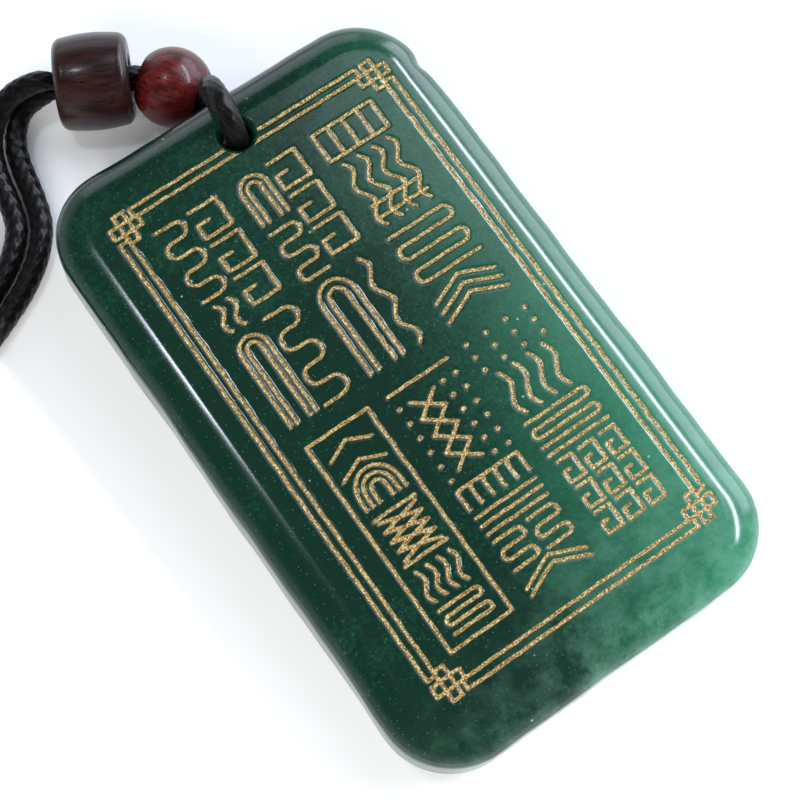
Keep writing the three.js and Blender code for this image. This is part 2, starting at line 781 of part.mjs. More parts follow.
// The knot: the wraps of the cord side by side, in line with the tail
function endKnot() {
  const wrap = CORD_DIAMETER / 2;
  const half = KNOT_WRAPS * wrap;
  const profile = [new THREE.Vector2(0, -half)];
  for (let i = 0; i < KNOT_WRAPS; i += 1) {
    const middle = -half + wrap * (2 * i + 1);
    for (const angle of KNOT_WRAP_ANGLES) {
      const radians = angle * Math.PI / 180;
      profile.push(new THREE.Vector2(
        KNOT_RADIUS - wrap + wrap * Math.cos(radians),
        middle + wrap * Math.sin(radians),
      ));
    }
  }
  profile.push(new THREE.Vector2(0, half));
  const [a, b] = [TAIL_ROUTE[TAIL_ROUTE.length - 2], TAIL_ROUTE[TAIL_ROUTE.length - 1]];
  const heading = Math.atan2(b[1] - a[1], b[0] - a[0]);
  const reach = half + TOUCH_GAP;
  const geometry = new THREE.LatheGeometry(profile, KNOT_SIDES);
  geometry.rotateZ(-Math.PI / 2);
  geometry.rotateZ(heading);
  geometry.translate(b[0] + reach * Math.cos(heading), b[1] + reach * Math.sin(heading), KNOT_RADIUS);
  return namedMesh('end_knot', geometry, finish('#151313', 0.7));
}

const pendant = new THREE.Group();
pendant.add(
  tablet(),
  roundBead(),
  barrelBead(),
  ...strands(),
  namedMesh('cord_coil', coilRing(0), finish('#151313', 0.7)),
  coilTie(),
  endKnot(),
);

export default pendant;
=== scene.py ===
# %% [markdown]
# # An engraved aventurine pendant on a beaded cord
# The object is a slab of green aventurine quartz with gilded engraving, on one black braided cord that is
# doubled through the slab's hole and carries a round bead and a barrel bead of wood. It lies on its back on a
# pale table, and the camera looks down on it. The CAD model is loaded first as a fixed frame, and every
# surface below is worked out in millimetres in the same frame.

# %% Load the frame
import math

import bmesh
import bpy
import numpy as np
from mathutils import Matrix, Vector


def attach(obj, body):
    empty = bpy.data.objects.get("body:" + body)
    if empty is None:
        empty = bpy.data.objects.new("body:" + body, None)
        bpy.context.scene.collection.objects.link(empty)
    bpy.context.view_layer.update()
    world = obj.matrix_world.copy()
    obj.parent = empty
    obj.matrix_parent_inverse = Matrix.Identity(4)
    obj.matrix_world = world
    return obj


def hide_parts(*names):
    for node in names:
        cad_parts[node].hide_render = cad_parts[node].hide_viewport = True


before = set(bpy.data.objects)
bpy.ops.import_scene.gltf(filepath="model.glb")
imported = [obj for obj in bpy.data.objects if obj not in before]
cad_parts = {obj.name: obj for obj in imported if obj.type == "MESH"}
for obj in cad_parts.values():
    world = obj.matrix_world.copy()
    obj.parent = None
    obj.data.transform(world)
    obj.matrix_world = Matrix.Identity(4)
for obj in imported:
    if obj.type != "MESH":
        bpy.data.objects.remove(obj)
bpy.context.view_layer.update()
MM = 0.001

# %% [markdown]
# ## How the slab lies
# The cord passes under the slab at the hole, so the slab leans: one edge of its back touches the table, and
# the end with the hole is a cord's thickness higher. The engraving and the camera are given in the slab's own
# coordinates, where the back face is the plane z = 0, and one function turns those into table coordinates.

# %% The slab's sizes and its lean
TABLET_WIDTH = 35.3
TABLET_LENGTH = 58.0
TABLET_THICKNESS = 7.0
CORNER_RADIUS = 6.3
BEVEL_WIDTH = 3.0
BEVEL_DROP = 1.7
HOLE_DIAMETER = 2.8
HOLE_RIM = 0.35
HOLE_X = 0.45
HOLE_Y = TABLET_LENGTH / 2 - 4.25
CORD_DIAMETER = 2.0
UNDER_GAP = 0.3
REST_EDGE_Y = -TABLET_LENGTH / 2 + BEVEL_WIDTH
TILT = math.asin((CORD_DIAMETER + UNDER_GAP) / (HOLE_Y - REST_EDGE_Y))


def leaned(directions):
    """Slab directions as table directions, turned about x: y' = y cos - z sin and z' = y sin + z cos."""
    x, y, z = np.moveaxis(np.asarray(directions, float), -1, 0)
    turned_y = y * math.cos(TILT) - z * math.sin(TILT)
    turned_z = y * math.sin(TILT) + z * math.cos(TILT)
    return np.stack([x, turned_y, turned_z], axis=-1)


def laid(points):
    """Slab points as table points: leaned, then shifted until the lower back edge touches the table."""
    shift = (0.0, TABLET_THICKNESS * math.sin(TILT) / 2, -REST_EDGE_Y * math.sin(TILT))
    return leaned(points) + shift


print(f"The slab leans {math.degrees(TILT):.2f} degrees")

# %% [markdown]
# ## The camera
# The photograph was taken from above and a little to the lower left, with a long lens. Its place was worked
# out from the four corners of the engraved border, a true rectangle. A camera in Blender looks along its own
# -z, so its matrix holds the picture's right, its up and the reverse of where it looks. The lens is a focal
# length in pixels of the 800 pixel picture, turned into millimetres on a 36 mm sensor.

# %% Make the camera
PICTURE_WIDTH = 800
FOCAL_PIXELS = 1939.2
SENSOR_WIDTH = 36.0
CAMERA_AT = (-32.41, -33.678, 155.616)
CAMERA_RIGHT = (0.81628524, -0.57586902, 0.04531317)
CAMERA_UP = (0.54249031, 0.79118898, 0.28235484)


def placed(name, data):
    """A new object in the scene that holds the data, at the origin."""
    thing = bpy.data.objects.new(name, data)
    bpy.context.scene.collection.objects.link(thing)
    return thing


camera_data = bpy.data.cameras.new("camera")
camera_data.sensor_fit = "HORIZONTAL"
camera_data.sensor_width = SENSOR_WIDTH
camera_data.lens = FOCAL_PIXELS / PICTURE_WIDTH * SENSOR_WIDTH
camera_data.clip_start = 0.01
camera = placed("camera", camera_data)
right = Vector(leaned(CAMERA_RIGHT)).normalized()
up = Vector(leaned(CAMERA_UP)).normalized()
place = Matrix((right, up, right.cross(up))).transposed().to_4x4()
place.translation = Vector(laid(CAMERA_AT)) * MM
camera.matrix_world = place
bpy.context.scene.camera = camera
print("Lens:", round(camera_data.lens, 2), "mm, place in mm:", [round(v / MM, 1) for v in place.translation])

# %% [markdown]
# ## Surfaces from arrays
# Nearly every piece below is a grid of points: a function of two parameters, worked out as one numpy array.
# A tube joins its last column to its first and a ring joins its rows too. A tube's open ends are closed by
# pulling the last row together to one point. The faces are turned round if the volume that they enclose comes
# out negative, so that they always point outwards.


# %% Turn a grid of points into a piece
def grid_faces(rows, columns, closed_rows, closed_columns):
    """Each face joins (i, j), (i+1, j), (i+1, j+1) and (i, j+1), counted round where the grid is closed."""
    i, j = np.meshgrid(
        np.arange(rows if closed_rows else rows - 1),
        np.arange(columns if closed_columns else columns - 1),
        indexing="ij",
    )
    i, j = i.ravel(), j.ravel()
    next_i, next_j = (i + 1) % rows, (j + 1) % columns
    corners = [(i, j), (next_i, j), (next_i, next_j), (i, next_j)]
    return np.stack([a * columns + b for a, b in corners], axis=1)


def enclosed_volume(points, faces):
    """Sum over the faces of a . (b x c) + a . (c x d), divided by six."""
    a, b, c, d = (points[faces[:, k]] for k in range(4))
    return (a * (np.cross(b, c) + np.cross(c, d))).sum() / 6


def new_piece(name, points, faces, material, uv=None, values=None):
    """Points in mm and faces as one smooth mesh at the origin, with doubled points merged. uv has two numbers
    for each corner of each face, and values has named numbers for each point."""
    points = np.asarray(points, float).reshape(-1, 3)
    inside_out = enclosed_volume(points, faces) < 0
    if inside_out:
        faces = faces[:, ::-1]
    mesh = bpy.data.meshes.new(name)
    mesh.from_pydata((points * MM).tolist(), [], faces.tolist())
    if uv is not None:
        corners = uv[:, ::-1] if inside_out else uv
        mesh.uv_layers.new(name="along").data.foreach_set("uv", corners.astype(np.float32).ravel())
    for label, numbers in (values or {}).items():
        layer = mesh.attributes.new(label, "FLOAT", "POINT")
        layer.data.foreach_set("value", np.asarray(numbers, np.float32).ravel())
    work = bmesh.new()
    work.from_mesh(mesh)
    bmesh.ops.remove_doubles(work, verts=work.verts, dist=1e-8)
    work.to_mesh(mesh)
    work.free()
    mesh.shade_smooth()
    mesh.materials.append(material)
    piece = placed(name, mesh)
    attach(piece, "root")
    print(f"{name}: {len(mesh.polygons)} faces, {len(mesh.vertices)} points")
    return piece


# %% [markdown]
# ## Colours and nodes
# Colours are written as sRGB hex values, and the shader works in linear light, so one function turns them.
# Another adds a node with its settings and links. Patterns read Object coordinates, which are in metres, so a
# pattern's scale is one over its real size in metres.


# %% Helpers for materials
def linear(code):
    """sRGB hex to linear RGBA: c / 12.92 up to 0.04045, and above it ((c + 0.055) / 1.055) to the 2.4."""
    channels = np.array([int(code[k:k + 2], 16) for k in (1, 3, 5)]) / 255
    low, high = channels / 12.92, ((channels + 0.055) / 1.055) ** 2.4
    return (*np.where(channels <= 0.04045, low, high), 1.0)


def fill(tree, node, inputs):
    """Each input gets a value, or a link from another node's output socket."""
    for socket, value in inputs.items():
        if isinstance(value, bpy.types.NodeSocket):
            tree.links.new(value, node.inputs[socket])
        else:
            node.inputs[socket].default_value = value


def add(tree, kind, inputs=None, **settings):
    """Adds a shader node with its settings, and fills its inputs."""
    node = tree.nodes.new("ShaderNode" + kind)
    for name, value in settings.items():
        setattr(node, name, value)
    fill(tree, node, inputs or {})
    return node


def per_size(size):
    """The scale of a pattern whose features are that many millimetres across."""
    return 1 / (size * MM)


def start_material(name):
    """A new material with its node tree and its one shader."""
    material = bpy.data.materials.new(name)
    material.use_nodes = True
    return material, material.node_tree, material.node_tree.nodes["Principled BSDF"]


# %% [markdown]
# ## The cord's material
# The cord is a round braid of polished black polyester: near-black threads with a soft sheen. Their colour is
# painted a little lighter on the crowns of the braid and darker in its dips, as painted light and shade. The
# braid's bumps are real relief in the mesh, further down. Here the filaments inside each thread are a fine
# streaky noise along the piece's own UV map, which holds millimetres round the cord and along it.

# %% Braided polyester, dyed black
FILAMENT = 0.06
STREAKS_PER_MM = 1.4

braid_black, tree, shader = start_material("braided_polyester")
uv = add(tree, "UVMap", uv_map="along").outputs["UV"]
streaks = add(tree, "Mapping", {"Vector": uv, "Scale": (1 / FILAMENT, STREAKS_PER_MM, 1.0)}).outputs["Vector"]
filaments = add(tree, "TexNoise", {"Vector": streaks, "Scale": 1.0, "Detail": 2.0}).outputs["Fac"]
# Painted light and shade: the threads are a little lighter on the braid's crowns and darker in its dips.
crown = add(tree, "Attribute", attribute_name="crown").outputs["Fac"]
crown_painted_light = add(tree, "MapRange", {"Value": crown, "From Min": 0.3, "From Max": 1.0}).outputs[0]
thread_with_painted_shade = add(tree, "Mix", {0: crown_painted_light, 6: linear("#020202"), 7: linear("#0B090A")}, data_type="RGBA").outputs[2]
fine = add(tree, "Mix", {0: filaments, 6: thread_with_painted_shade, 7: linear("#050404")}, data_type="RGBA").outputs[2]
bump = add(tree, "Bump", {"Strength": 0.4, "Distance": 0.03 * MM, "Height": filaments}).outputs["Normal"]
fill(tree, shader, {"Base Color": fine, "Normal": bump, "Roughness": 0.36, "Specular IOR Level": 0.25,
                    "Sheen Weight": 0.02, "Sheen Roughness": 0.4})
print(braid_black.name, "has", len(tree.nodes), "nodes")

# %% [markdown]
# ## The cord's two strands
# One limp braid, 2 mm thick, is pushed through the hole and doubled, so two strands leave the slab: one from
# the hole's front mouth and over the top edge, one from its back mouth and under the edge. Together they pass
# through both beads and wander off over the table. The length that the picture doesn't show is wound into a
# coil beside it. Each route is a list of given points, made smooth by a centripetal Catmull-Rom curve, and
# the coil's turns are worked out by a formula. A fourth number says how far the braid is squeezed: 0 outside,
# 1 in the beads' bores. In the pair's routes the fourth is the turn of the two strands round each other, 0
# for one above the other and 90 for side by side, and the fifth is the squeeze.

# %% The route's points
STRAND_GAP = 0.15
SQUEEZED_DIAMETER = 1.5
STRAND_SPACING = CORD_DIAMETER + STRAND_GAP
SQUEEZED_SPACING = SQUEEZED_DIAMETER + STRAND_GAP
FRONT_START = np.array([
    (0.42, 24.52, 6.1, 0), (0.42, 24.47, 7.6, 0), (0.41, 24.62, 9.05, 0), (0.48, 25.4, 10.22, 0),
    (0.62, 26.65, 10.72, 0), (0.82, 27.95, 10.45, 0), (1.02, 29.05, 9.65, 0), (1.24, 29.98, 8.3, 0),
    (1.38, 30.44, 6.9, 0.1), (1.42, 30.72, 5.7, 0.4), (1.38, 31.08, 4.85, 0.8), (1.16, 31.8, 4.4, 1),
    (0.75, 32.5, 4.27, 1), (0.2, 33.3, 4.27, 1),
])
BACK_START = np.array([
    (0.4, 24.5, 5.4, 0), (0.4, 24.55, 3.9, 0), (0.42, 24.85, 2.35, 0), (0.5, 25.7, 1.3, 0),
    (0.66, 27.0, 1.03, 0), (0.86, 28.4, 1.05, 0), (1.08, 29.7, 1.25, 0.1), (1.28, 30.8, 1.85, 0.6),
    (1.19, 31.75, 2.45, 1), (0.75, 32.5, 2.63, 1), (0.2, 33.3, 2.61, 1),
])
PAIR_ROUTE = np.array([
    (-0.3, 34.05, 3.44, 0, 1), (-1.55, 35.8, 3.47, 0, 1), (-2.93, 36.62, 3.94, 0, 1),
    (-5.75, 38.07, 4.14, 0, 1), (-8.58, 39.57, 4.14, 0, 1), (-9.75, 40.12, 4.1, 4, 0.2),
    (-11.6, 40.5, 3.55, 16, 0), (-12.65, 40.35, 3.18, 27, 0), (-13.6, 39.9, 2.75, 40, 0),
    (-14.5, 39.13, 2.3, 53, 0), (-15.2, 38.2, 1.9, 65, 0), (-15.67, 37.08, 1.53, 76, 0),
    (-16.0, 35.9, 1.25, 85, 0), (-16.5, 33.4, 1.02, 90, 0), (-17.3, 31.0, 1.02, 90, 0),
    (-18.9, 29.0, 1.02, 90, 0), (-21.0, 27.4, 1.02, 90, 0), (-23.6, 26.0, 1.1, 90, 0),
    (-26.8, 24.5, 1.3, 90, 0), (-30.2, 22.9, 1.45, 90, 0), (-33.9, 21.2, 1.45, 90, 0),
])
TAIL_ROUTE = np.array([
    (-33.9, 21.2, 3.6, 90, 0), (-38.0, 19.3, 3.55, 90, 0), (-42.0, 17.5, 3.2, 90, 0),
    (-45.7, 15.8, 3.0, 90, 0),
])
TAIL_INTO_KNOT = 1.6


# %% Smooth curves and the two strands' offsets
def smooth_curve(points, steps=16):
    """Centripetal Catmull-Rom: a cubic between each two points, whose tangents come from the neighbouring
    points, with each gap counted by the root of its length. Columns after the third ride along."""
    ends = 2 * points[[0, -1]] - points[[1, -2]]
    p = np.vstack([ends[:1], points, ends[1:]])
    gap = np.sqrt(np.linalg.norm(np.diff(p[:, :3], axis=0), axis=1))[:, None]
    before, here, after = gap[:-2], gap[1:-1], gap[2:]
    a, b, c, d = p[:-3], p[1:-2], p[2:-1], p[3:]
    start = ((b - a) / before - (c - a) / (before + here) + (c - b) / here) * here
    end = ((c - b) / here - (d - b) / (here + after) + (d - c) / after) * here
    t = np.linspace(0, 1, steps, endpoint=False)[None, :, None]
    b, c, start, end = (v[:, None, :] for v in (b, c, start, end))
    curve = (2 * t**3 - 3 * t**2 + 1) * b + (t**3 - 2 * t**2 + t) * start
    curve = curve + (3 * t**2 - 2 * t**3) * c + (t**3 - t**2) * end
    return np.vstack([curve.reshape(-1, points.shape[1]), points[-1]])


def run_along(line):
    """The length of line up to each of its points."""
    return np.concatenate([[0], np.cumsum(np.linalg.norm(np.diff(line[:, :3], axis=0), axis=1))])


def unit(vectors):
    """Vectors divided by their lengths."""
    return vectors / np.linalg.norm(vectors, axis=-1, keepdims=True)


def squeezed(loose, tight, squeeze):
    """Between two sizes by the squeeze."""
    return loose + (tight - loose) * squeeze


def strand_points(route, side, steps=16):
    """The pair's middle moved half a spacing to one side: up by the turn's cosine, and right by its sine. The
    last column is the squeeze."""
    middle = smooth_curve(route[:, :3], steps)
    along = np.gradient(middle, axis=0)[::steps, :2]
    rightward = unit(np.stack([along[:, 1], -along[:, 0]], axis=1))
    turn = np.radians(route[:, 3])[:, None]
    squeeze = route[:, 4:]
    reach = side * squeezed(STRAND_SPACING, SQUEEZED_SPACING, squeeze) / 2
    return np.hstack([route[:, :3] + reach * np.hstack([np.sin(turn) * rightward, np.cos(turn)]), squeeze])


# %% The coil's turns
COIL_OUTER_TURN_RADIUS = 15.6
COIL_TURNS_PER_LAYER = 2
POINTS_PER_TURN = 48
HALF_CLIMB_TURNS = 0.12
STEPS_PER_MM = 5

last_step = unit(PAIR_ROUTE[-1, :2] - PAIR_ROUTE[-2, :2])
pair_radius = COIL_OUTER_TURN_RADIUS - STRAND_SPACING / 2
coil_middle = PAIR_ROUTE[-1, :2] + pair_radius * np.array([last_step[1], -last_step[0]])
coil_start = PAIR_ROUTE[-1, :2] - coil_middle


def circle(angle, radius=1.0):
    """(r cos a, r sin a) for each angle."""
    return radius * np.stack([np.cos(angle), np.sin(angle)], axis=-1)


def coil_points(side):
    """A flat spiral inwards on the lower layer and outwards on the upper one: the angle falls steadily, the
    radius shrinks and grows by two spacings each turn, and the height climbs a spacing at the inner end."""
    turns = np.linspace(0, 2 * COIL_TURNS_PER_LAYER, 2 * COIL_TURNS_PER_LAYER * POINTS_PER_TURN + 1)
    angle = math.atan2(coil_start[1], coil_start[0]) - 2 * np.pi * turns
    from_inner = np.abs(turns - COIL_TURNS_PER_LAYER)
    inner_radius = pair_radius - side * STRAND_SPACING / 2 - 2 * STRAND_SPACING * COIL_TURNS_PER_LAYER
    radius = inner_radius + 2 * STRAND_SPACING * from_inner
    climb = np.clip((turns - COIL_TURNS_PER_LAYER) / HALF_CLIMB_TURNS / 2 + 0.5, 0, 1)
    low, high = PAIR_ROUTE[-1, 2], TAIL_ROUTE[0, 2]
    height = low + (high - low) * (3 * climb**2 - 2 * climb**3)
    flat = coil_middle + circle(angle) * radius[:, None]
    return np.column_stack([flat, height, np.zeros_like(height)])


def whole_strand(start, side):
    """The listed points, then the coil, then the tail, as one smooth line with even steps of length. The
    tail goes straight on into the knot."""
    tail = strand_points(TAIL_ROUTE, side)
    tail[-1] += unit(tail[-1] - tail[-2]) * TAIL_INTO_KNOT
    parts = [start, strand_points(PAIR_ROUTE, side), coil_points(side)[1:-1], tail]
    dense = smooth_curve(np.vstack(parts), 8)
    run = run_along(dense)
    even = np.linspace(0, run[-1], int(run[-1] * STEPS_PER_MM) + 1)
    line = np.stack([np.interp(even, run, dense[:, k]) for k in range(4)], axis=1)
    return line[:, :3], np.clip(line[:, 3], 0, 1), run[-1]


front_line, front_squeeze, front_length = whole_strand(FRONT_START, 1)
back_line, back_squeeze, back_length = whole_strand(BACK_START, -1)
print(f"Front strand {front_length:.1f} mm, back strand {back_length:.1f} mm")
print("Coil's middle in mm:", np.round(coil_middle, 2))

# %% [markdown]
# ## A braided tube
# A tube is a circle carried along a line. Two sets of helices run round it, one each way, and where they
# cross they make the diamonds of a braid. The radius swells by a small amount in the middle of each diamond.
# The circle needs a direction to start from at each place on the line: sideways while the cord goes up and
# over, and upwards once it lies on the table, with the change hidden inside the beads.

# %% Carry the braid along a line
BRAID_DIAMONDS = 8
BRAID_LAY = 1.6
BRAID_DEPTH = 0.12
POINTS_AROUND = 40
TURN_OVER_START = 16.0
TURN_OVER_END = 23.0


def braid_height(angle, length):
    """The root of |sin (a + b) sin (a - b)|: a counts the diamonds round the cord, b those along it."""
    around = BRAID_DIAMONDS * angle / 2
    along = BRAID_DIAMONDS * length / CORD_DIAMETER / BRAID_LAY
    return np.sqrt(np.abs(np.sin(around + along) * np.sin(around - along)))


def upright_on_table(run):
    """Sideways near the hole and upwards on the table, with a smooth change in the beads between the two."""
    share = np.clip((run - TURN_OVER_START) / (TURN_OVER_END - TURN_OVER_START), 0, 1)[:, None]
    return (1 - share) * np.array([1.0, 0.0, 0.0]) + share * np.array([0.0, 0.0, 1.0])


def full_turn(count):
    """That many even angles round a circle."""
    return np.linspace(0, 2 * np.pi, count, endpoint=False)


def braided_tube(name, line, reference, squeeze=0.0):
    """Point (i, j) is line[i] + r (cos a n + sin a m). n and m are at right angles to the line, and r is the
    cord's radius less the braid's dips. The end rows are pulled together, which closes the tube."""
    along = unit(np.gradient(line, axis=0))
    n = unit(np.cross(along, reference))
    m = np.cross(n, along)
    run = run_along(line)
    angle = full_turn(POINTS_AROUND)
    crown_height = braid_height(angle[None, :], run[:, None])
    full = np.broadcast_to(squeezed(CORD_DIAMETER, SQUEEZED_DIAMETER, squeeze) / 2, len(line))
    radius = full[:, None] - BRAID_DEPTH * (1 - crown_height)
    radius[[0, -1]] = 0.0
    ring = np.cos(angle)[:, None] * n[:, None, :] + np.sin(angle)[:, None] * m[:, None, :]
    points = line[:, None, :] + radius[..., None] * ring
    faces = grid_faces(len(line), POINTS_AROUND, False, True)
    i, j = np.divmod(faces[:, :1], POINTS_AROUND)
    corner_j = j + np.array([[0, 0, 1, 1]])
    corner_i = i + np.array([[0, 1, 1, 0]])
    uv = np.stack([corner_j * math.pi * CORD_DIAMETER / POINTS_AROUND, run[corner_i]], axis=-1)
    return new_piece(name, points, faces, braid_black, uv=uv, values={"crown": crown_height})


cord_front = braided_tube("cord_front", front_line, upright_on_table(run_along(front_line)), front_squeeze)
cord_back = braided_tube("cord_back", back_line, upright_on_table(run_along(back_line)), back_squeeze)
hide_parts("front_strand", "front_tail", "cord_coil")
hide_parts("back_strand", "back_tail", "cord_coil")
print("Braid: one diamond is", round(math.pi * CORD_DIAMETER / BRAID_DIAMONDS, 2), "mm round the cord")

# %% [markdown]
# ## The knot at the far end
# The two strands end in a barrel knot, one of them wound three times round both. The turns are the same
# braided tube, carried along a helix whose first and last stretch dive into the middle. The strands run
# straight on into the knot and end inside it.

# %% Tie the knot
KNOT_RADIUS = 3.0
KNOT_WRAPS = 3
KNOT_TURN_RADIUS = KNOT_RADIUS - CORD_DIAMETER / 2
KNOT_STEPS = KNOT_WRAPS * 40
DRAWN_IN_TURNS = 0.25
DRAWN_IN_SHARE = 0.35
TOUCH_GAP = 0.3

tail_heading = np.append(unit(TAIL_ROUTE[-1, :2] - TAIL_ROUTE[-2, :2]), 0.0)
knot_side = np.array([-tail_heading[1], tail_heading[0], 0.0])
knot_start = np.append(TAIL_ROUTE[-1, :2], KNOT_RADIUS) + TOUCH_GAP * tail_heading


def knot_line():
    """A helix of touching turns, with its first and last quarter turn drawn in towards the middle."""
    turns = np.linspace(0, KNOT_WRAPS, KNOT_STEPS + 1)
    drawn_in = np.clip(np.minimum(turns, KNOT_WRAPS - turns) / DRAWN_IN_TURNS, 0, 1)
    share = DRAWN_IN_SHARE + (1 - DRAWN_IN_SHARE) * np.sin(drawn_in * math.pi / 2)
    reach = CORD_DIAMETER / 2 + (KNOT_WRAPS - 1) * CORD_DIAMETER * turns / KNOT_WRAPS
    angle = 2 * np.pi * turns + math.pi / 2
    offsets = [reach, KNOT_TURN_RADIUS * share * np.cos(angle), KNOT_TURN_RADIUS * share * np.sin(angle)]
    return knot_start + np.stack(offsets, axis=1) @ np.stack([tail_heading, knot_side, (0.0, 0.0, 1.0)])


end_knot = braided_tube("end_knot_turns", knot_line(), np.tile(tail_heading, (KNOT_STEPS + 1, 1)))
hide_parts("end_knot")

# %% [markdown]
# ## The band round the coil
# The coil is held by one woven band that passes once round its section: a flat oval profile, carried along a
# closed path that is a rectangle with round corners. The tape's fine ribs are part of the profile's height.

# %% Wrap the band
TIE_THICKNESS = 0.3
TIE_GAP = 0.15
TIE_WIDTH = 3.0
TIE_ANGLE = math.radians(75)
COIL_LAYERS = 2
TIE_CORNER = 0.7
TIE_AROUND = 56
EDGE_POWER = 0.6
FACE_POWER = 0.3
TAPE_RIB = 0.5
RIB_DEPTH = 0.14

ring_outer = COIL_OUTER_TURN_RADIUS + CORD_DIAMETER / 2
tie_outward = np.array([math.cos(TIE_ANGLE), math.sin(TIE_ANGLE)])
tie_sideways = np.array([-tie_outward[1], tie_outward[0]])
ring_height = COIL_LAYERS * STRAND_SPACING


def round_box_path(low, high, corner, per_corner=8, per_side=24):
    """A rectangle with round corners in the plane of distance from the coil's middle and height."""
    (x0, y0), (x1, y1) = low, high
    centres = [(x1 - corner, y0 + corner), (x1 - corner, y1 - corner),
               (x0 + corner, y1 - corner), (x0 + corner, y0 + corner)]
    quarter = np.linspace(0, math.pi / 2, per_corner)
    corners = [circle(quarter + (k - 1) * math.pi / 2, corner) + at for k, at in enumerate(centres)]
    share = np.linspace(0, 1, per_side, endpoint=False)[1:, None]
    sides = [a[-1] + share * (b[0] - a[-1]) for a, b in zip(corners, corners[1:] + corners[:1])]
    return np.vstack([part for pair in zip(corners, sides) for part in pair])


def turns_under_band():
    """How far from the coil's middle the turns that the band crosses start and end."""
    offset = np.vstack([front_line, back_line])[:, :2] - coil_middle
    reach, across = offset @ tie_outward, offset @ tie_sideways
    crossed = reach[(np.abs(across) < TIE_WIDTH / 2) & (reach > 0) & (reach < ring_outer)]
    return crossed.min() - CORD_DIAMETER / 2, crossed.max() + CORD_DIAMETER / 2


def swollen(values, power):
    """A power below one pushes a cosine or sine out towards its ends: sign(v) |v| to the power."""
    return np.sign(values) * np.abs(values) ** power


def band_points():
    """Profile point (w, h) at path point p is p + h times the path's outward normal, moved w sideways."""
    skin = TIE_GAP + TIE_THICKNESS / 2
    bottom = TIE_THICKNESS + TIE_GAP
    near, far = turns_under_band()
    low, high = (near - skin, bottom - skin), (far + skin, bottom + ring_height + skin)
    path = round_box_path(low, high, TIE_CORNER)
    step = unit(np.roll(path, -1, axis=0) - np.roll(path, 1, axis=0))
    normal = np.stack([step[:, 1], -step[:, 0]], axis=1)
    around = full_turn(TIE_AROUND)
    across = swollen(np.cos(around), EDGE_POWER) * TIE_WIDTH / 2
    ribs = 1 - RIB_DEPTH + RIB_DEPTH * np.abs(np.cos(across * math.pi / TAPE_RIB))
    thick = swollen(np.sin(around), FACE_POWER) * TIE_THICKNESS / 2 * ribs
    reach = path[:, None, 0] + thick[None, :] * normal[:, None, 0]
    height = path[:, None, 1] + thick[None, :] * normal[:, None, 1]
    flat = coil_middle + reach[..., None] * tie_outward + across[None, :, None] * tie_sideways
    return np.concatenate([flat, height[..., None]], axis=-1)


def new_tape_material():
    """Woven tape: dull black cotton with a faint lint. Its ribs are in the mesh."""
    material, tree, shader = start_material("woven_cotton_tape")
    place = add(tree, "TexCoord").outputs["Object"]
    lint = add(tree, "TexNoise", {"Vector": place, "Scale": per_size(0.25), "Detail": 4.0}).outputs["Fac"]
    black = {0: lint, 6: linear("#060505"), 7: linear("#1A1718")}
    colour = add(tree, "Mix", black, data_type="RGBA").outputs[2]
    bump = add(tree, "Bump", {"Strength": 0.5, "Distance": 0.05 * MM, "Height": lint}).outputs["Normal"]
    fill(tree, shader, {"Base Color": colour, "Normal": bump, "Roughness": 0.75, "Sheen Weight": 0.3})
    return material


band = band_points()
coil_band = new_piece("coil_band", band, grid_faces(*band.shape[:2], True, True), new_tape_material())
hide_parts("coil_tie")

# %% [markdown]
# ## The beads
# Both beads were turned on a lathe from dark hardwood, bored and polished. Each is a profile carried round
# the bore: the outside, a rounded lip, a small chamfer and the bore's wall, joined up to a closed ring. The
# corners of the profile are softened by short curves, as sanding does. The bead is then laid down with its
# bore level and turned to its heading, and what stands below the table is pressed up to a small flat.

# %% Profiles and laying
BORE_CLEARANCE = 0.24
BORE_RADIUS = (SQUEEZED_DIAMETER + SQUEEZED_SPACING) / 2 + BORE_CLEARANCE
BORE_CHAMFER = 0.35
MOUTH_RADIUS = BORE_RADIUS + BORE_CHAMFER
ROUND_BEAD_DIAMETER = 7.0
ROUND_BEAD_HEADING = 125
BARREL_DIAMETER = 8.4
BARREL_LENGTH = 6.4
BARREL_SHOULDER = 0.9
BARREL_SWELL = 0.2
BARREL_HEADING = 152
FLAT_SPOT_DEPTH = 0.06
CORNER_SOFTENING = 0.12
MOST_OF_A_SIDE = 0.45
BORE_STATION = 0.3
BEAD_COLUMNS = 144


def softened(corners, reach, steps=5):
    """Each corner of a closed outline as a quadratic curve, from a point short of it to a point past it."""
    before = np.roll(corners, 1, axis=0) - corners
    after = np.roll(corners, -1, axis=0) - corners
    start, end = (
        corners + side * np.minimum(reach / np.linalg.norm(side, axis=1, keepdims=True), MOST_OF_A_SIDE)
        for side in (before, after)
    )
    start, end, middle = start[:, None], end[:, None], corners[:, None]
    t = np.linspace(0, 1, steps)[None, :, None]
    return ((1 - t)**2 * start + 2 * t * (1 - t) * middle + t**2 * end).reshape(-1, 2)


def new_bead(name, outside, half, radius, at, heading, material):
    """(r, h) at angle a becomes (h, r cos a, r sin a), turned about z by the heading and then moved."""
    bore = [(MOUTH_RADIUS, half), (BORE_RADIUS, half - BORE_CHAMFER), (BORE_RADIUS, BORE_STATION * half),
            (BORE_RADIUS, -BORE_STATION * half), (BORE_RADIUS, BORE_CHAMFER - half), (MOUTH_RADIUS, -half)]
    profile = softened(np.vstack([outside, bore]), CORNER_SOFTENING)
    angle = full_turn(BEAD_COLUMNS)
    along = np.broadcast_to(profile[:, None, 1], (len(profile), BEAD_COLUMNS))
    across = profile[:, None, 0] * np.cos(angle)
    height = profile[:, None, 0] * np.sin(angle) + radius - FLAT_SPOT_DEPTH
    turn = math.radians(heading)
    x = at[0] + along * math.cos(turn) - across * math.sin(turn)
    y = at[1] + along * math.sin(turn) + across * math.cos(turn)
    points = np.stack([x, y, np.maximum(height, 0.0)], axis=-1)
    return new_piece(name, points, grid_faces(*points.shape[:2], True, True), material)


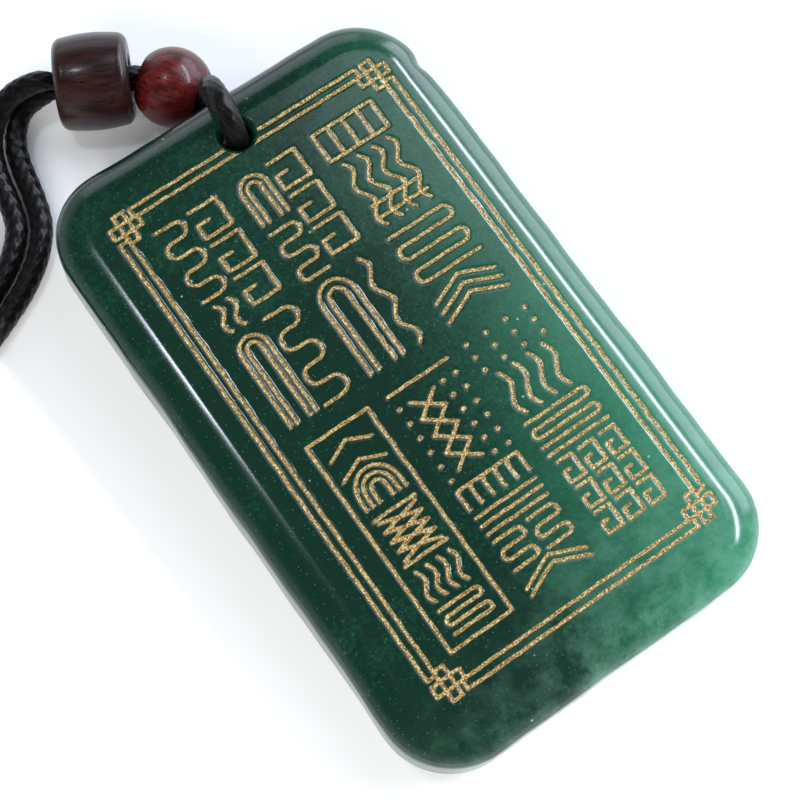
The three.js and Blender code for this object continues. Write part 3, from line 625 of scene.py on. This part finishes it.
# %% [markdown]
# ## Turned hardwood
# The round bead is a warm red rosewood with fine dark pores along the grain. The barrel is a darker, almost
# black rosewood with brown streaks. Both are waxed and polished over a slightly uneven surface. The grain is
# a noise drawn out along the bore, so a Mapping node turns the pattern to the bead's heading.

# %% One function for both woods
GRAIN_DRAW = 0.16


def turned_wood(name, heading, dark, middle, bright, pore_colour):
    """Streaks three scales deep: broad rings of colour, narrow streaks and dark pores, all along the bore."""
    material, tree, shader = start_material(name)
    place = add(tree, "TexCoord").outputs["Object"]
    turn = (0.0, 0.0, -math.radians(heading))
    level = add(tree, "Mapping", {"Vector": place, "Rotation": turn}, vector_type="POINT").outputs["Vector"]
    drawn = add(tree, "Mapping", {"Vector": level, "Scale": (GRAIN_DRAW, 1.0, 1.0)}).outputs["Vector"]
    streaks = [
        add(tree, "TexNoise", {"Vector": drawn, "Scale": per_size(size), "Detail": detail,
                               "Distortion": twist})
        for size, detail, twist in ((1.6, 3.0, 0.6), (0.35, 4.0, 0.0), (0.16, 1.0, 0.0))
    ]
    limits = ((0.32, 0.68), (0.35, 0.75), (0.6, 0.7))
    shares = [
        add(tree, "MapRange", {"Value": streak.outputs["Fac"], "From Min": low, "From Max": high}).outputs[0]
        for streak, (low, high) in zip(streaks, limits)
    ]
    colour = linear(dark)
    for share, code in zip(shares, (middle, bright, pore_colour)):
        colour = add(tree, "Mix", {0: share, 6: colour, 7: linear(code)}, data_type="RGBA").outputs[2]
    pits = add(tree, "Math", {0: streaks[1].outputs["Fac"], 1: shares[2]}, operation="SUBTRACT").outputs[0]
    bump = add(tree, "Bump", {"Strength": 0.25, "Distance": 0.03 * MM, "Height": pits}).outputs["Normal"]
    fill(tree, shader, {"Base Color": colour, "Normal": bump, "Roughness": 0.32, "Specular IOR Level": 0.3,
                        "Coat Weight": 0.15, "Coat Roughness": 0.12})
    print(name, "has", len(tree.nodes), "nodes")
    return material


red_rosewood = turned_wood("red_rosewood", ROUND_BEAD_HEADING, "#1E0708", "#420F10", "#651C19", "#120404")
dark_rosewood = turned_wood("dark_rosewood", BARREL_HEADING, "#0C0505", "#1B0C0C", "#2F1713", "#070303")

# %% Turn the round bead
round_radius = ROUND_BEAD_DIAMETER / 2
mouth_angle = math.acos(MOUTH_RADIUS / round_radius)
sweep = np.linspace(-mouth_angle, mouth_angle, 40)[1:-1]
round_half = round_radius * math.sin(mouth_angle)
red_bead = new_bead("red_bead", circle(sweep, round_radius), round_half, round_radius,
                    PAIR_ROUTE[0], ROUND_BEAD_HEADING, red_rosewood)
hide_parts("round_bead")

# %% Turn the barrel bead
barrel_radius = BARREL_DIAMETER / 2
barrel_half = BARREL_LENGTH / 2
straight_half = barrel_half - BARREL_SHOULDER
shoulder_middle = (barrel_radius - BARREL_SWELL - BARREL_SHOULDER, straight_half)
shoulder = shoulder_middle + circle(np.linspace(0, math.pi / 2, 10), BARREL_SHOULDER)
belly = np.linspace(-1, 1, 16)[1:-1]
belly = np.stack([barrel_radius - BARREL_SWELL * belly**2, belly * straight_half], axis=1)
barrel_outside = np.vstack([shoulder[::-1] * (1, -1), belly, shoulder])
dark_bead = new_bead("dark_bead", barrel_outside, barrel_half, barrel_radius,
                     PAIR_ROUTE[3], BARREL_HEADING, dark_rosewood)
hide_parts("barrel_bead")

# %% [markdown]
# ## The engraving's strokes
# The face carries a traditional double border whose lines stop short of an endless knot at each corner.
# Inside it are six fields of shallow strokes that fill the place of an inscription without being letters:
# meanders, nested arches, frets, waves, bars, lattices, roof lines, combs and dots. Each motif is a short
# function that returns lines in a box, so that the fields can be set out as a table: a motif, its count, and
# its box as shares of the field from the left and from the top.

# %% Arcs
def arc(x, y, radius, start, end, steps_per_quarter=5):
    """Points of an arc, its angles in quarter turns."""
    steps = math.ceil(abs(end - start) * steps_per_quarter) + 1
    return circle(np.linspace(start, end, steps) * math.pi / 2, radius) + (x, y)


# %% The motifs
FRET_SIDE = 0.78
FRET_TAIL = 0.42
WAVE_BEND = 1.6
WAVE_SWING = 0.42
WAVE_SHARE = 0.3
ROOF_RISE = 0.22
DOT_PITCH = 1.3


def meander(left, right, bottom, top, runs):
    """A line that runs to and fro down the box, with round bends."""
    pitch = (top - bottom) / (runs - 1)
    line = [np.array([(left, top)])]
    for i in range(runs - 1):
        y = top - pitch * (i + 0.5)
        line.append(arc(right - pitch / 2, y, pitch / 2, 1, -1) if i % 2 == 0
                    else arc(left + pitch / 2, y, pitch / 2, 1, 3))
    line.append(np.array([(right if runs % 2 else left, bottom)]))
    return [np.vstack(line)]


def arches(left, right, bottom, top, count):
    """Arches one inside the other, open at the bottom."""
    middle, half = (left + right) / 2, (right - left) / 2
    return [np.vstack([[(middle + r, bottom)], arc(middle, top - half, r, 0, 2), [(middle - r, bottom)]])
            for r in half * np.arange(count, 0, -1) / count]


def frets(left, right, bottom, top, count):
    """Square spirals set one above the other."""
    pitch = (top - bottom) / count
    tops = top - pitch * np.arange(count)
    inner = left + (right - left) * FRET_TAIL
    side = pitch * FRET_SIDE
    return [np.array([(left, t), (right, t), (right, t - side), (left, t - side), (left, t - side / 2),
                      (inner, t - side / 2)]) for t in tops]


def waves(left, right, bottom, top, count):
    """Wavy lines down the box, side by side: x swings with the sine of the distance down."""
    pitch = (right - left) / count
    bends = round((top - bottom) / WAVE_BEND)
    share = np.linspace(0, 1, bends * 6 + 1)
    swing = min(pitch * WAVE_SHARE, WAVE_SWING) * np.sin(math.pi * bends * share)
    return [np.stack([left + pitch * (i + 0.5) + swing, top - (top - bottom) * share], axis=1)
            for i in range(count)]


def bars(left, right, bottom, top, count):
    """Level bars."""
    return [np.array([(left, y), (right, y)]) for y in np.linspace(top, bottom, count)]


def lattice(left, right, bottom, top, count):
    """Two zigzags that cross, so that they make a chain of lozenges."""
    y = np.linspace(top, bottom, 2 * count + 1)
    odd = np.arange(2 * count + 1) % 2
    return [np.stack([np.where(odd == side, left, right), y], axis=1) for side in (0, 1)]


def roofs(left, right, bottom, top, count):
    """Roof lines one below the other."""
    rise = (right - left) * ROOF_RISE
    return [np.array([(left, y - rise), ((left + right) / 2, y), (right, y - rise)])
            for y in np.linspace(top, bottom + rise, count)]


def comb(left, right, bottom, top, count):
    """A bar with teeth hanging from it."""
    teeth = [np.array([(x, top), (x, bottom)]) for x in np.linspace(left, right, count)]
    return [np.array([(left, top), (right, top)]), *teeth]


def outline(left, right, bottom, top, count=1):
    """The outline of the box itself."""
    return [np.array([(left, bottom), (right, bottom), (right, top), (left, top), (left, bottom)])]


def dots(left, right, bottom, top, count):
    """Round dots in rows and columns, each a line of no length."""
    rows = max(2, round((top - bottom) / DOT_PITCH) + 1)
    columns = [(left + right) / 2] if count == 1 else np.linspace(left, right, count)
    return [np.array([(x, y)]) for x in columns for y in np.linspace(top, bottom, rows)]


# %% The border, its knots and the six fields
BORDER_X = (-TABLET_WIDTH / 2 + 4.77, TABLET_WIDTH / 2 - 3.47)
BORDER_Y = (-TABLET_LENGTH / 2 + 5.4, TABLET_LENGTH / 2 - 4.9)
BORDER = (*BORDER_X, *BORDER_Y)
LINE_GAP = 0.83
LINE_STOP = 2.27
KNOT_CELL = 0.9
FIELD_MARGIN_X = 2.0
FIELD_MARGIN_Y = 2.2
COLUMN_GAP = 1.9
ROW_GAP = 2.1
FIELDS = {
    (0, 0): [(meander, 6, 0, 0.42, 0, 0.36), (frets, 3, 0.56, 1, 0, 0.52), (waves, 2, 0, 0.42, 0.4, 0.53),
             (arches, 2, 0, 0.42, 0.58, 1), (meander, 6, 0.56, 1, 0.56, 1)],
    (1, 0): [(arches, 2, 0, 0.42, 0, 0.22), (meander, 5, 0, 0.42, 0.27, 0.52), (frets, 3, 0.56, 1, 0, 0.52),
             (arches, 2, 0, 0.54, 0.57, 1), (waves, 1, 0.64, 1, 0.56, 1)],
    (2, 0): [(comb, 5, 0, 1, 0, 0.14), (bars, 1, 0, 1, 0.14, 0.14), (waves, 4, 0, 1, 0.18, 0.5),
             (bars, 2, 0.1, 0.9, 0.4, 0.46), (meander, 5, 0, 1, 0.56, 0.8), (roofs, 3, 0, 1, 0.84, 1)],
    (0, 1): [(outline, 1, 0, 1, 0, 1), (roofs, 2, 0.16, 0.84, 0.06, 0.2), (arches, 3, 0.18, 0.82, 0.2, 0.35),
             (bars, 1, 0.16, 0.84, 0.4, 0.4), (lattice, 2, 0.2, 0.8, 0.42, 0.6),
             (bars, 1, 0.16, 0.84, 0.62, 0.62), (waves, 4, 0.14, 0.86, 0.66, 0.8),
             (meander, 4, 0.18, 0.82, 0.84, 0.95)],
    (1, 1): [(bars, 1, 0, 1, 0.01, 0.01), (dots, 1, 0, 0.06, 0.08, 0.44), (lattice, 2, 0.2, 0.6, 0.08, 0.42),
             (dots, 2, 0.76, 0.98, 0.08, 0.44), (comb, 6, 0, 1, 0.49, 0.58), (bars, 3, 0, 1, 0.62, 0.7),
             (meander, 4, 0, 0.44, 0.74, 0.88), (meander, 4, 0.56, 1, 0.74, 0.88), (roofs, 2, 0, 1, 0.9, 1)],
    (2, 1): [(dots, 4, 0, 1, 0.01, 0.14), (waves, 4, 0, 1, 0.18, 0.38), (meander, 4, 0, 1, 0.42, 0.54),
             (bars, 1, 0, 1, 0.58, 0.58), (frets, 3, 0.04, 0.28, 0.62, 1), (frets, 3, 0.4, 0.64, 0.62, 1),
             (frets, 3, 0.76, 1, 0.62, 1)],
}


def border_strokes():
    """One long closed loop for each side's double line, and two crossing loops for each corner's knot."""
    left, right, bottom, top = BORDER
    sides = [(left + LINE_STOP, right - LINE_STOP, top - LINE_GAP, top),
             (left + LINE_STOP, right - LINE_STOP, bottom, bottom + LINE_GAP),
             (left, left + LINE_GAP, bottom + LINE_STOP, top - LINE_STOP),
             (right - LINE_GAP, right, bottom + LINE_STOP, top - LINE_STOP)]
    inset, short, long = 1.5 * LINE_GAP, KNOT_CELL / 2, 1.5 * KNOT_CELL
    for x in (left + inset, right - inset):
        for y in (bottom + inset, top - inset):
            sides.append((x - long, x + long, y - short, y + short))
            sides.append((x - short, x + short, y - long, y + long))
    return [line for box in sides for line in outline(*box)]


def field_strokes():
    """The motifs of the six fields, in three columns and two rows inside the border."""
    left, right, bottom, top = BORDER
    left, right = left + LINE_GAP + FIELD_MARGIN_X, right - LINE_GAP - FIELD_MARGIN_X
    bottom, top = bottom + LINE_GAP + FIELD_MARGIN_Y, top - LINE_GAP - FIELD_MARGIN_Y
    width, height = (right - left - 2 * COLUMN_GAP) / 3, (top - bottom - ROW_GAP) / 2
    lines = []
    for (column, row), motifs in FIELDS.items():
        x, y = left + column * (width + COLUMN_GAP), top - row * (height + ROW_GAP)
        for motif, count, x0, x1, y0, y1 in motifs:
            lines += motif(x + x0 * width, x + x1 * width, y - y1 * height, y - y0 * height, count)
    return lines


strokes = border_strokes() + field_strokes()
print(len(strokes), "strokes")

# %% [markdown]
# ## Distance to the nearest stroke
# One number for each point of the face serves both for the groove's depth and for its gold: the distance to
# the nearest stroke's middle line. Where it is small, the mesh is pressed in and the shader puts gold. As it
# changes evenly across the mesh's small faces, the gold's edge comes out sharp. An engraver's hand wavers, so
# the points are moved by a few hundredths of a millimetre before the distance is taken.

# %% Measure the distances
GROOVE_WIDTH = 0.48
GROOVE_DEPTH = 0.25
GILDED_WIDTH = 0.32
PAINT_FILL = 0.14
DOT_DIAMETER = 0.62
FAR_FROM_STROKES = 5.0
HAND_WAVER = 0.018

starts = np.vstack([line[:-1] if len(line) > 1 else line for line in strokes])
ends = np.vstack([line[1:] if len(line) > 1 else line for line in strokes])
dot_widening = (DOT_DIAMETER - GROOVE_WIDTH) / 2
widening = np.concatenate([np.zeros(len(line) - 1) if len(line) > 1 else [dot_widening] for line in strokes])


def wavered(points):
    """Moves x by sines of y, and y by sines of x, whose wavelengths are a few millimetres."""
    x, y = points[:, 0], points[:, 1]
    shift_x = np.sin(2.1 * y + np.sin(0.9 * x)) + 0.6 * np.sin(4.7 * y + 1.7 * x)
    shift_y = np.sin(1.9 * x + np.sin(1.1 * y)) + 0.6 * np.sin(5.1 * x - 1.3 * y)
    return points + HAND_WAVER * np.stack([shift_x, shift_y], axis=1)


def distance_to_strokes(points, chunk=1500):
    """For each point, the least distance to a segment: to its projection, held between the segment's ends."""
    along = ends - starts
    length_squared = np.maximum((along**2).sum(axis=1), 1e-9)
    nearest = np.empty(len(points))
    for first in range(0, len(points), chunk):
        offset = points[first:first + chunk, None, :] - starts
        share = np.clip((offset * along).sum(axis=2) / length_squared, 0, 1)
        gap = np.hypot(*np.moveaxis(offset - share[..., None] * along, -1, 0)) - widening
        nearest[first:first + chunk] = gap.min(axis=1)
    return nearest


# %% [markdown]
# ## The slab's surface
# The slab was sawn, ground round at the corners and bevelled by hand on both faces. Its flat face is a grid
# of small squares, fine enough for the grooves, whose corner squares are pulled onto quarter circles. The
# grid's edge is carried outwards and down as rings: a bevel, the side, the back bevel, and the flat back,
# where the rings close on a line in its middle. Grinding by hand leaves the edge a little uneven, so the
# rings swell and dip by about a tenth of a millimetre. One small chip is dented into the right edge.

# %% Build the slab
FACE_CELL = 0.152
UNEVENNESS = 0.09
BEVEL_STEPS = 12
BEVEL_POWER = 1.6
SIDE_STEPS = 3
BACK_BEVEL_STEPS = 6
BACK_STEPS = 5
WAVES_ROUND = [(7, 0.5, 1.0), (13, 2.1, 0.8), (23, 4.0, 0.5), (41, 1.2, 0.25)]
WAVES_SCALE = 2.5
NICK_AT = (17.4, 22.0, 5.6)
NICK_SIZE = 0.9
NICK_DEPTH = 0.3

half_x = TABLET_WIDTH / 2 - BEVEL_WIDTH
half_y = TABLET_LENGTH / 2 - BEVEL_WIDTH
flat_corner = CORNER_RADIUS - BEVEL_WIDTH
columns = round(2 * half_x / FACE_CELL)
rows = round(2 * half_y / FACE_CELL)


def corner_direction(points):
    """The corner's centre for each point, and its offset from there where it lies in a corner square."""
    centre = np.sign(points) * (np.array([half_x, half_y]) - flat_corner)
    offset = points - centre
    in_corner = (np.sign(points) * offset > 0).all(axis=-1, keepdims=True)
    return centre, offset, in_corner


def rounded(points):
    """In a corner square a point moves along its ray until its distance is the larger of its two offsets."""
    centre, offset, in_corner = corner_direction(points)
    reach = np.abs(offset).max(axis=-1, keepdims=True)
    length = np.maximum(np.linalg.norm(offset, axis=-1, keepdims=True), 1e-12)
    return np.where(in_corner, centre + offset / length * reach, points)


grid_sides = (np.linspace(-half_x, half_x, columns + 1), np.linspace(-half_y, half_y, rows + 1))
square_grid = np.stack(np.meshgrid(*grid_sides, indexing="ij"), axis=-1)
face_grid = rounded(square_grid)
index = np.arange((columns + 1) * (rows + 1)).reshape(columns + 1, rows + 1)
edge_index = np.concatenate([index[:-1, 0], index[-1, :-1], index[:0:-1, -1], index[0, :0:-1]])
edge_square = square_grid.reshape(-1, 2)[edge_index]
edge = face_grid.reshape(-1, 2)[edge_index]
_, offset, in_corner = corner_direction(edge_square)
side_normal = np.where(np.abs(edge_square) > np.array([half_x, half_y]) - 1e-6, np.sign(edge_square), 0.0)
outward = unit(np.where(in_corner, offset, side_normal))


def ring_profile():
    """Reach beyond the flat face and height: out and down with reach^p + fall^p = 1, the side, and back in.
    With p below 2 the bevel is nearly flat between two eased creases, as a grinding wheel leaves it."""
    bevel = np.linspace(0, math.pi / 2, BEVEL_STEPS + 1)[1:]
    back_bevel = np.linspace(math.pi / 2, 0, BACK_BEVEL_STEPS + 1)[1:]
    side = np.linspace(TABLET_THICKNESS - BEVEL_DROP, BEVEL_DROP, SIDE_STEPS + 1)[1:]
    power = 2 / BEVEL_POWER
    outs = [np.sin(bevel) ** power, np.ones(SIDE_STEPS), np.sin(back_bevel) ** power]
    fall, back_rise = (BEVEL_DROP * (1 - np.cos(a) ** power) for a in (bevel, back_bevel))
    reach = np.concatenate(outs) * BEVEL_WIDTH
    height = np.concatenate([TABLET_THICKNESS - fall, side, back_rise])
    return reach, height


def uneven(run, height):
    """A sum of sines round the edge with whole numbers of waves, whose phase drifts with the height."""
    turn = 2 * np.pi * run[None, :]
    drift = height[:, None] / TABLET_THICKNESS
    waves = [size * np.sin(count * turn + phase + 2 * drift) for count, phase, size in WAVES_ROUND]
    return sum(waves) / WAVES_SCALE


def with_height(points, height):
    """Points in the plane with a third column, their height."""
    return np.concatenate([points, np.broadcast_to(height, (*points.shape[:-1], 1))], axis=-1)


reach, height = ring_profile()
edge_run = run_along(np.vstack([edge, edge[:1]]))
edge_share = edge_run[:-1] / edge_run[-1]
ripple = UNEVENNESS * uneven(edge_share, height) * (reach / BEVEL_WIDTH)[:, None] ** 2
rings = edge + (reach[:, None] + ripple - UNEVENNESS)[..., None] * outward
rings = with_height(rings, height[:, None, None])
from_nick = np.linalg.norm(rings - NICK_AT, axis=-1, keepdims=True)
rings[..., :2] -= NICK_DEPTH * np.exp(-(from_nick / NICK_SIZE) ** 2) * outward

spine = np.stack([np.zeros(len(edge)), np.clip(edge[:, 1], half_x - half_y, half_y - half_x)], axis=1)
shrink = np.linspace(1, 0, BACK_STEPS + 1)[1:, None, None]
back_rings = with_height(spine + shrink * (rings[-1, :, :2] - spine), 0.0)

face_points = with_height(face_grid.reshape(-1, 2), TABLET_THICKNESS)
slab_points = np.vstack([face_points, rings.reshape(-1, 3), back_rings.reshape(-1, 3)])
face_faces = grid_faces(columns + 1, rows + 1, False, False)
ring_count, around_count = len(rings) + len(back_rings), len(edge)
ring_faces = grid_faces(ring_count + 1, around_count, False, True)
ring_index = np.concatenate([edge_index, len(face_points) + np.arange(ring_count * around_count)])
slab_faces = np.vstack([face_faces, ring_index[ring_faces]])
print("Slab:", len(slab_faces), "faces before the hole")

# %% [markdown]
# ## Drill the hole
# The hole was drilled through both faces and its rims were eased with a cone. It is cut with a Boolean of a
# turned drill shape, which is then applied. Only after that are the grooves pressed in and the distances
# stored, because then every point that the cut made has its own.

# %% Cut the hole
DRILL_OVERSHOOT = 0.5
DRILL_SIDES = 72
stone_green, stone_tree, stone_shader = start_material("polished_aventurine_gilded")
cone_radius = HOLE_DIAMETER / 2 + HOLE_RIM + DRILL_OVERSHOOT
drill_profile = np.array([
    (0.0, -DRILL_OVERSHOOT), (cone_radius, -DRILL_OVERSHOOT),
    (HOLE_DIAMETER / 2, HOLE_RIM), (HOLE_DIAMETER / 2, TABLET_THICKNESS - HOLE_RIM),
    (cone_radius, TABLET_THICKNESS + DRILL_OVERSHOOT), (0.0, TABLET_THICKNESS + DRILL_OVERSHOOT),
])
drill_rings = drill_profile[:, None, :1] * circle(full_turn(DRILL_SIDES)) + (HOLE_X, HOLE_Y)
drill_points = with_height(drill_rings, drill_profile[:, None, 1:])
drill_faces = grid_faces(*drill_points.shape[:2], False, True)
drill = new_piece("drill", drill_points, drill_faces, stone_green)
slab = new_piece("slab", slab_points, slab_faces, stone_green)
cut = slab.modifiers.new("hole", "BOOLEAN")
cut.operation = "DIFFERENCE"
cut.solver = "EXACT"
cut.object = drill
drilled = bpy.data.meshes.new_from_object(slab.evaluated_get(bpy.context.evaluated_depsgraph_get()))
slab.modifiers.clear()
slab.data = drilled
bpy.data.objects.remove(drill)

# %% Press the grooves in and lay the slab down
SEARCH_MARGIN = 1.0

place = np.empty(len(drilled.vertices) * 3)
drilled.vertices.foreach_get("co", place)
place = place.reshape(-1, 3) / MM
on_face = place[:, 2] > TABLET_THICKNESS - 1e-4
left, right, bottom, top = BORDER
near_x = (place[:, 0] > left - SEARCH_MARGIN) & (place[:, 0] < right + SEARCH_MARGIN)
near_y = (place[:, 1] > bottom - SEARCH_MARGIN) & (place[:, 1] < top + SEARCH_MARGIN)
distance = np.full(len(place), FAR_FROM_STROKES)
engraved = on_face & near_x & near_y
distance[engraved] = distance_to_strokes(wavered(place[engraved, :2]))
depth = (GROOVE_DEPTH - PAINT_FILL) * np.clip(1 - (distance / (GILDED_WIDTH / 2)) ** 2, 0, 1)
place[:, 2] -= depth
drilled.vertices.foreach_set("co", (laid(place) * MM).astype(np.float32).ravel())
layer = drilled.attributes.new("from_stroke", "FLOAT", "POINT")
layer.data.foreach_set("value", distance.astype(np.float32))
drilled.shade_smooth()
drilled.update()
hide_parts("tablet")
print("Slab:", len(drilled.polygons), "faces,", int((depth > 0).sum()), "points in the grooves")

# %% [markdown]
# ## Green aventurine with gilded grooves
# Aventurine is quartz, coloured green by tiny plates of fuchsite. Polished, it has a wet gloss over a deep,
# slightly cloudy green with small glittering flecks and a few whitish specks; the green is painted paler to
# one side, as painted light from that side shining through the stone. The gold paint in the grooves is
# grainy, and its colour is painted pale at the bumps and brown in the dips: painted highlights and shade over
# the paint's own uneven tone. Both finishes are one shader, mixed by the stored distance, so that no seam
# opens between them.

# %% Polished aventurine, gilded in its grooves
def gilding_mask(tree, place):
    """Gold where the distance to a stroke is less than half the gilded width, with a ragged, grainy edge."""
    from_stroke = add(tree, "Attribute", attribute_name="from_stroke").outputs["Fac"]
    ragged = add(tree, "TexNoise", {"Vector": place, "Scale": per_size(0.3), "Detail": 3.0}).outputs["Fac"]
    wander = add(tree, "MapRange", {"Value": ragged, "To Min": -0.06, "To Max": 0.06}).outputs[0]
    distance = add(tree, "Math", {0: from_stroke, 1: wander}, operation="ADD").outputs[0]
    return add(tree, "MapRange", {"Value": distance, "From Min": GILDED_WIDTH / 2 + 0.02,
                                  "From Max": GILDED_WIDTH / 2 - 0.04}).outputs[0]


def stone_colour(tree, place):
    """Painted light: a slow change to paler green towards one side, where light passes through the stone.
    Then clouds, wisps and grain, milk in the lower edge, glittering plates and whitish specks."""
    clouds = add(tree, "TexNoise", {"Vector": place, "Scale": per_size(14), "Detail": 3.0, "Distortion": 0.8})
    wisps = add(tree, "TexNoise", {"Vector": place, "Scale": per_size(2.2), "Detail": 6.0, "Roughness": 0.65})
    grain = add(tree, "TexNoise", {"Vector": place, "Scale": per_size(0.35), "Detail": 2.0})
    axes = add(tree, "SeparateXYZ", {0: place}).outputs
    # Painted light: the green turns paler towards one side, standing in for light from there shining through
    # the stone. The clouds, wisps and grain added to it are the stone's own tone.
    slope = add(tree, "Math", {0: axes["Y"], 1: -0.25}, operation="MULTIPLY").outputs[0]
    toward = add(tree, "Math", {0: axes["X"], 1: slope}, operation="ADD").outputs[0]
    painted_side_light_and_clouds = add(tree, "MapRange", {"Value": toward, "From Min": -2 * MM, "From Max": 29 * MM},
                interpolation_type="SMOOTHSTEP").outputs[0]
    for layer, reach in ((clouds, 0.07), (wisps, 0.06), (grain, 0.07)):
        change = add(tree, "MapRange", {"Value": layer.outputs["Fac"], "From Min": 0.3, "From Max": 0.7,
                                        "To Min": -reach, "To Max": reach}).outputs[0]
        painted_side_light_and_clouds = add(tree, "Math", {0: painted_side_light_and_clouds, 1: change}, operation="ADD").outputs[0]
    across = add(tree, "Math", {0: axes["X"], 1: 0.4}, operation="MULTIPLY").outputs[0]
    downward = add(tree, "Math", {0: across, 1: axes["Y"]}, operation="SUBTRACT").outputs[0]
    low_edge = add(tree, "MapRange", {"Value": downward, "From Min": 14 * MM, "From Max": 36 * MM},
                   interpolation_type="SMOOTHSTEP").outputs[0]
    milk = add(tree, "MapRange", {"Value": wisps.outputs["Fac"], "From Min": 0.4, "From Max": 0.72,
                                  "To Min": 0.02, "To Max": 0.26}).outputs[0]
    shares = [painted_side_light_and_clouds, add(tree, "Math", {0: low_edge, 1: milk}, operation="MULTIPLY").outputs[0]]
    for size, outer, inner, strength in ((0.45, 0.16, 0.08, 0.16), (2.6, 0.05, 0.03, 0.35)):
        spots = add(tree, "TexVoronoi", {"Vector": place, "Scale": per_size(size)}, feature="F1")
        shares.append(add(tree, "MapRange", {"Value": spots.outputs["Distance"], "From Min": outer,
                                             "From Max": inner, "To Max": strength}).outputs[0])
    colour = linear("#09251A")
    for share, code in zip(shares, ("#2E7256", "#86B7A0", "#6FB594", "#B9D8C6")):
        colour = add(tree, "Mix", {0: share, 6: colour, 7: linear(code)}, data_type="RGBA").outputs[2]
    return colour


def gold_with_painted_glints(tree, grain):
    """Grainy gold paint: brown, then gold, then pale where the grains stand up. This paints highlights on the
    bumps and shade in the dips over the paint's own uneven tone.
    """
    colour = linear("#5F4019")
    for low, high, code in ((0.38, 0.52, "#9A7C3F"), (0.52, 0.64, "#CFBD86")):
        share = add(tree, "MapRange", {"Value": grain, "From Min": low, "From Max": high}).outputs[0]
        colour = add(tree, "Mix", {0: share, 6: colour, 7: linear(code)}, data_type="RGBA").outputs[2]
    return colour


tree, shader = stone_tree, stone_shader
place = add(tree, "TexCoord").outputs["Object"]
gilded = gilding_mask(tree, place)
gold_grain = add(tree, "TexNoise", {"Vector": place, "Scale": per_size(0.15), "Detail": 2.0}).outputs["Fac"]
# The gold's colour follows the grain that also lifts its bump, so the pale grains are painted highlights and
# the brown dips are painted shade.
finishes = {0: gilded, 6: stone_colour(tree, place), 7: gold_with_painted_glints(tree, gold_grain)}
base = add(tree, "Mix", finishes, data_type="RGBA").outputs[2]
roughness = add(tree, "MapRange", {"Value": gilded, "To Min": 0.16, "To Max": 0.42}).outputs[0]
metal = add(tree, "MapRange", {"Value": gilded, "To Min": 0.0, "To Max": 0.25}).outputs[0]
orange_peel = add(tree, "TexNoise", {"Vector": place, "Scale": per_size(1.8), "Detail": 2.0}).outputs["Fac"]
polish = add(tree, "Bump", {"Strength": 0.08, "Distance": 0.05 * MM, "Height": orange_peel}).outputs["Normal"]
paint = add(tree, "Math", {0: gold_grain, 1: gilded}, operation="MULTIPLY").outputs[0]
grainy = add(tree, "Bump", {"Strength": 0.6, "Distance": 0.08 * MM, "Height": paint, "Normal": polish})
fill(tree, shader, {"Base Color": base, "Roughness": roughness, "Metallic": metal, "IOR": 1.54,
                    "Normal": grainy.outputs["Normal"]})
print(stone_green.name, "has", len(tree.nodes), "nodes")

# %% [markdown]
# ## The table and the light
# The pendant was photographed on a plain white ground under soft light. The table is one pale plane, and six
# area lights face the slab, each from a direction and with a width and a height in mm. The large key box at
# the lower left is diffused: it lights all, and isn't mirrored in the polish. The others are a wide one on
# the right bevel, a narrow one as a line along it, one overhead as the haze on the face's right half, a small
# one as the thin line where the left bevel starts, and a weak one behind the far end. The world is pale at
# the horizon and dark overhead.

# %% The table
TABLE_HALF = 0.6
corners = [(-TABLE_HALF, -TABLE_HALF, 0), (TABLE_HALF, -TABLE_HALF, 0), (TABLE_HALF, TABLE_HALF, 0),
           (-TABLE_HALF, TABLE_HALF, 0)]
table_mesh = bpy.data.meshes.new("table")
table_mesh.from_pydata(corners, [], [(0, 1, 2, 3)])
table = placed("table", table_mesh)
table_white, tree, shader = start_material("matt_white_board")
place = add(tree, "TexCoord").outputs["Object"]
tooth = add(tree, "TexNoise", {"Vector": place, "Scale": per_size(0.8), "Detail": 3.0}).outputs["Fac"]
bump = add(tree, "Bump", {"Strength": 0.1, "Distance": 0.02 * MM, "Height": tooth}).outputs["Normal"]
fill(tree, shader, {"Base Color": linear("#F4F4F2"), "Normal": bump, "Roughness": 0.9,
                    "Specular IOR Level": 0.1})
table_mesh.materials.append(table_white)


# %% Soft boxes
DAYLIGHT = "#E8F0FF"
BOX_DISTANCE = 420.0
AIM = Vector((0.0, 6.0, 5.0))

for name, direction, size, energy, mirrored in [
    ("key_box", (-0.72, -0.66, 0.4), (520.0, 420.0), 4.2, False),
    ("right_box", (0.93, 0.16, 0.3), (420.0, 200.0), 1.15, True),
    ("line_box", (0.71, -0.06, 0.69), (400.0, 28.0), 1.7, True),
    ("haze_box", (0.5, 0.18, 0.85), (240.0, 178.0), 0.27, True),
    ("crease_box", (-0.2, 0.24, 0.95), (30.0, 44.0), 0.24, True),
    ("back_box", (0.25, 0.9, 0.34), (300.0, 160.0), 0.16, True),
]:
    light = bpy.data.lights.new(name, "AREA")
    light.shape = "RECTANGLE"
    light.size, light.size_y = size[0] * MM, size[1] * MM
    light.energy = energy
    light.color = linear(DAYLIGHT)[:3] if mirrored else (1.0, 1.0, 1.0)
    lamp = placed(name, light)
    lamp.location = (AIM + Vector(direction).normalized() * BOX_DISTANCE) * MM
    lamp.rotation_euler = Vector(direction).to_track_quat("Z", "Y").to_euler()
    lamp.visible_glossy = mirrored
    print(f"{name}: {size} mm, {energy} W")

# %% The pale room with a dark ceiling
world = bpy.data.worlds.new("pale_room")
world.use_nodes = True
room = world.node_tree
toward = add(room, "TexCoord").outputs["Generated"]
upward = add(room, "SeparateXYZ", {0: toward}).outputs["Z"]
ceiling = add(room, "MapRange", {"Value": upward, "From Min": 0.2, "From Max": 0.6,
                                 "To Min": 0.75, "To Max": 0.07}, interpolation_type="SMOOTHSTEP").outputs[0]
fill(room, room.nodes["Background"], {"Color": linear("#F4F8FF"), "Strength": ceiling})
bpy.context.scene.world = world
bpy.context.scene.view_settings.view_transform = "Standard"
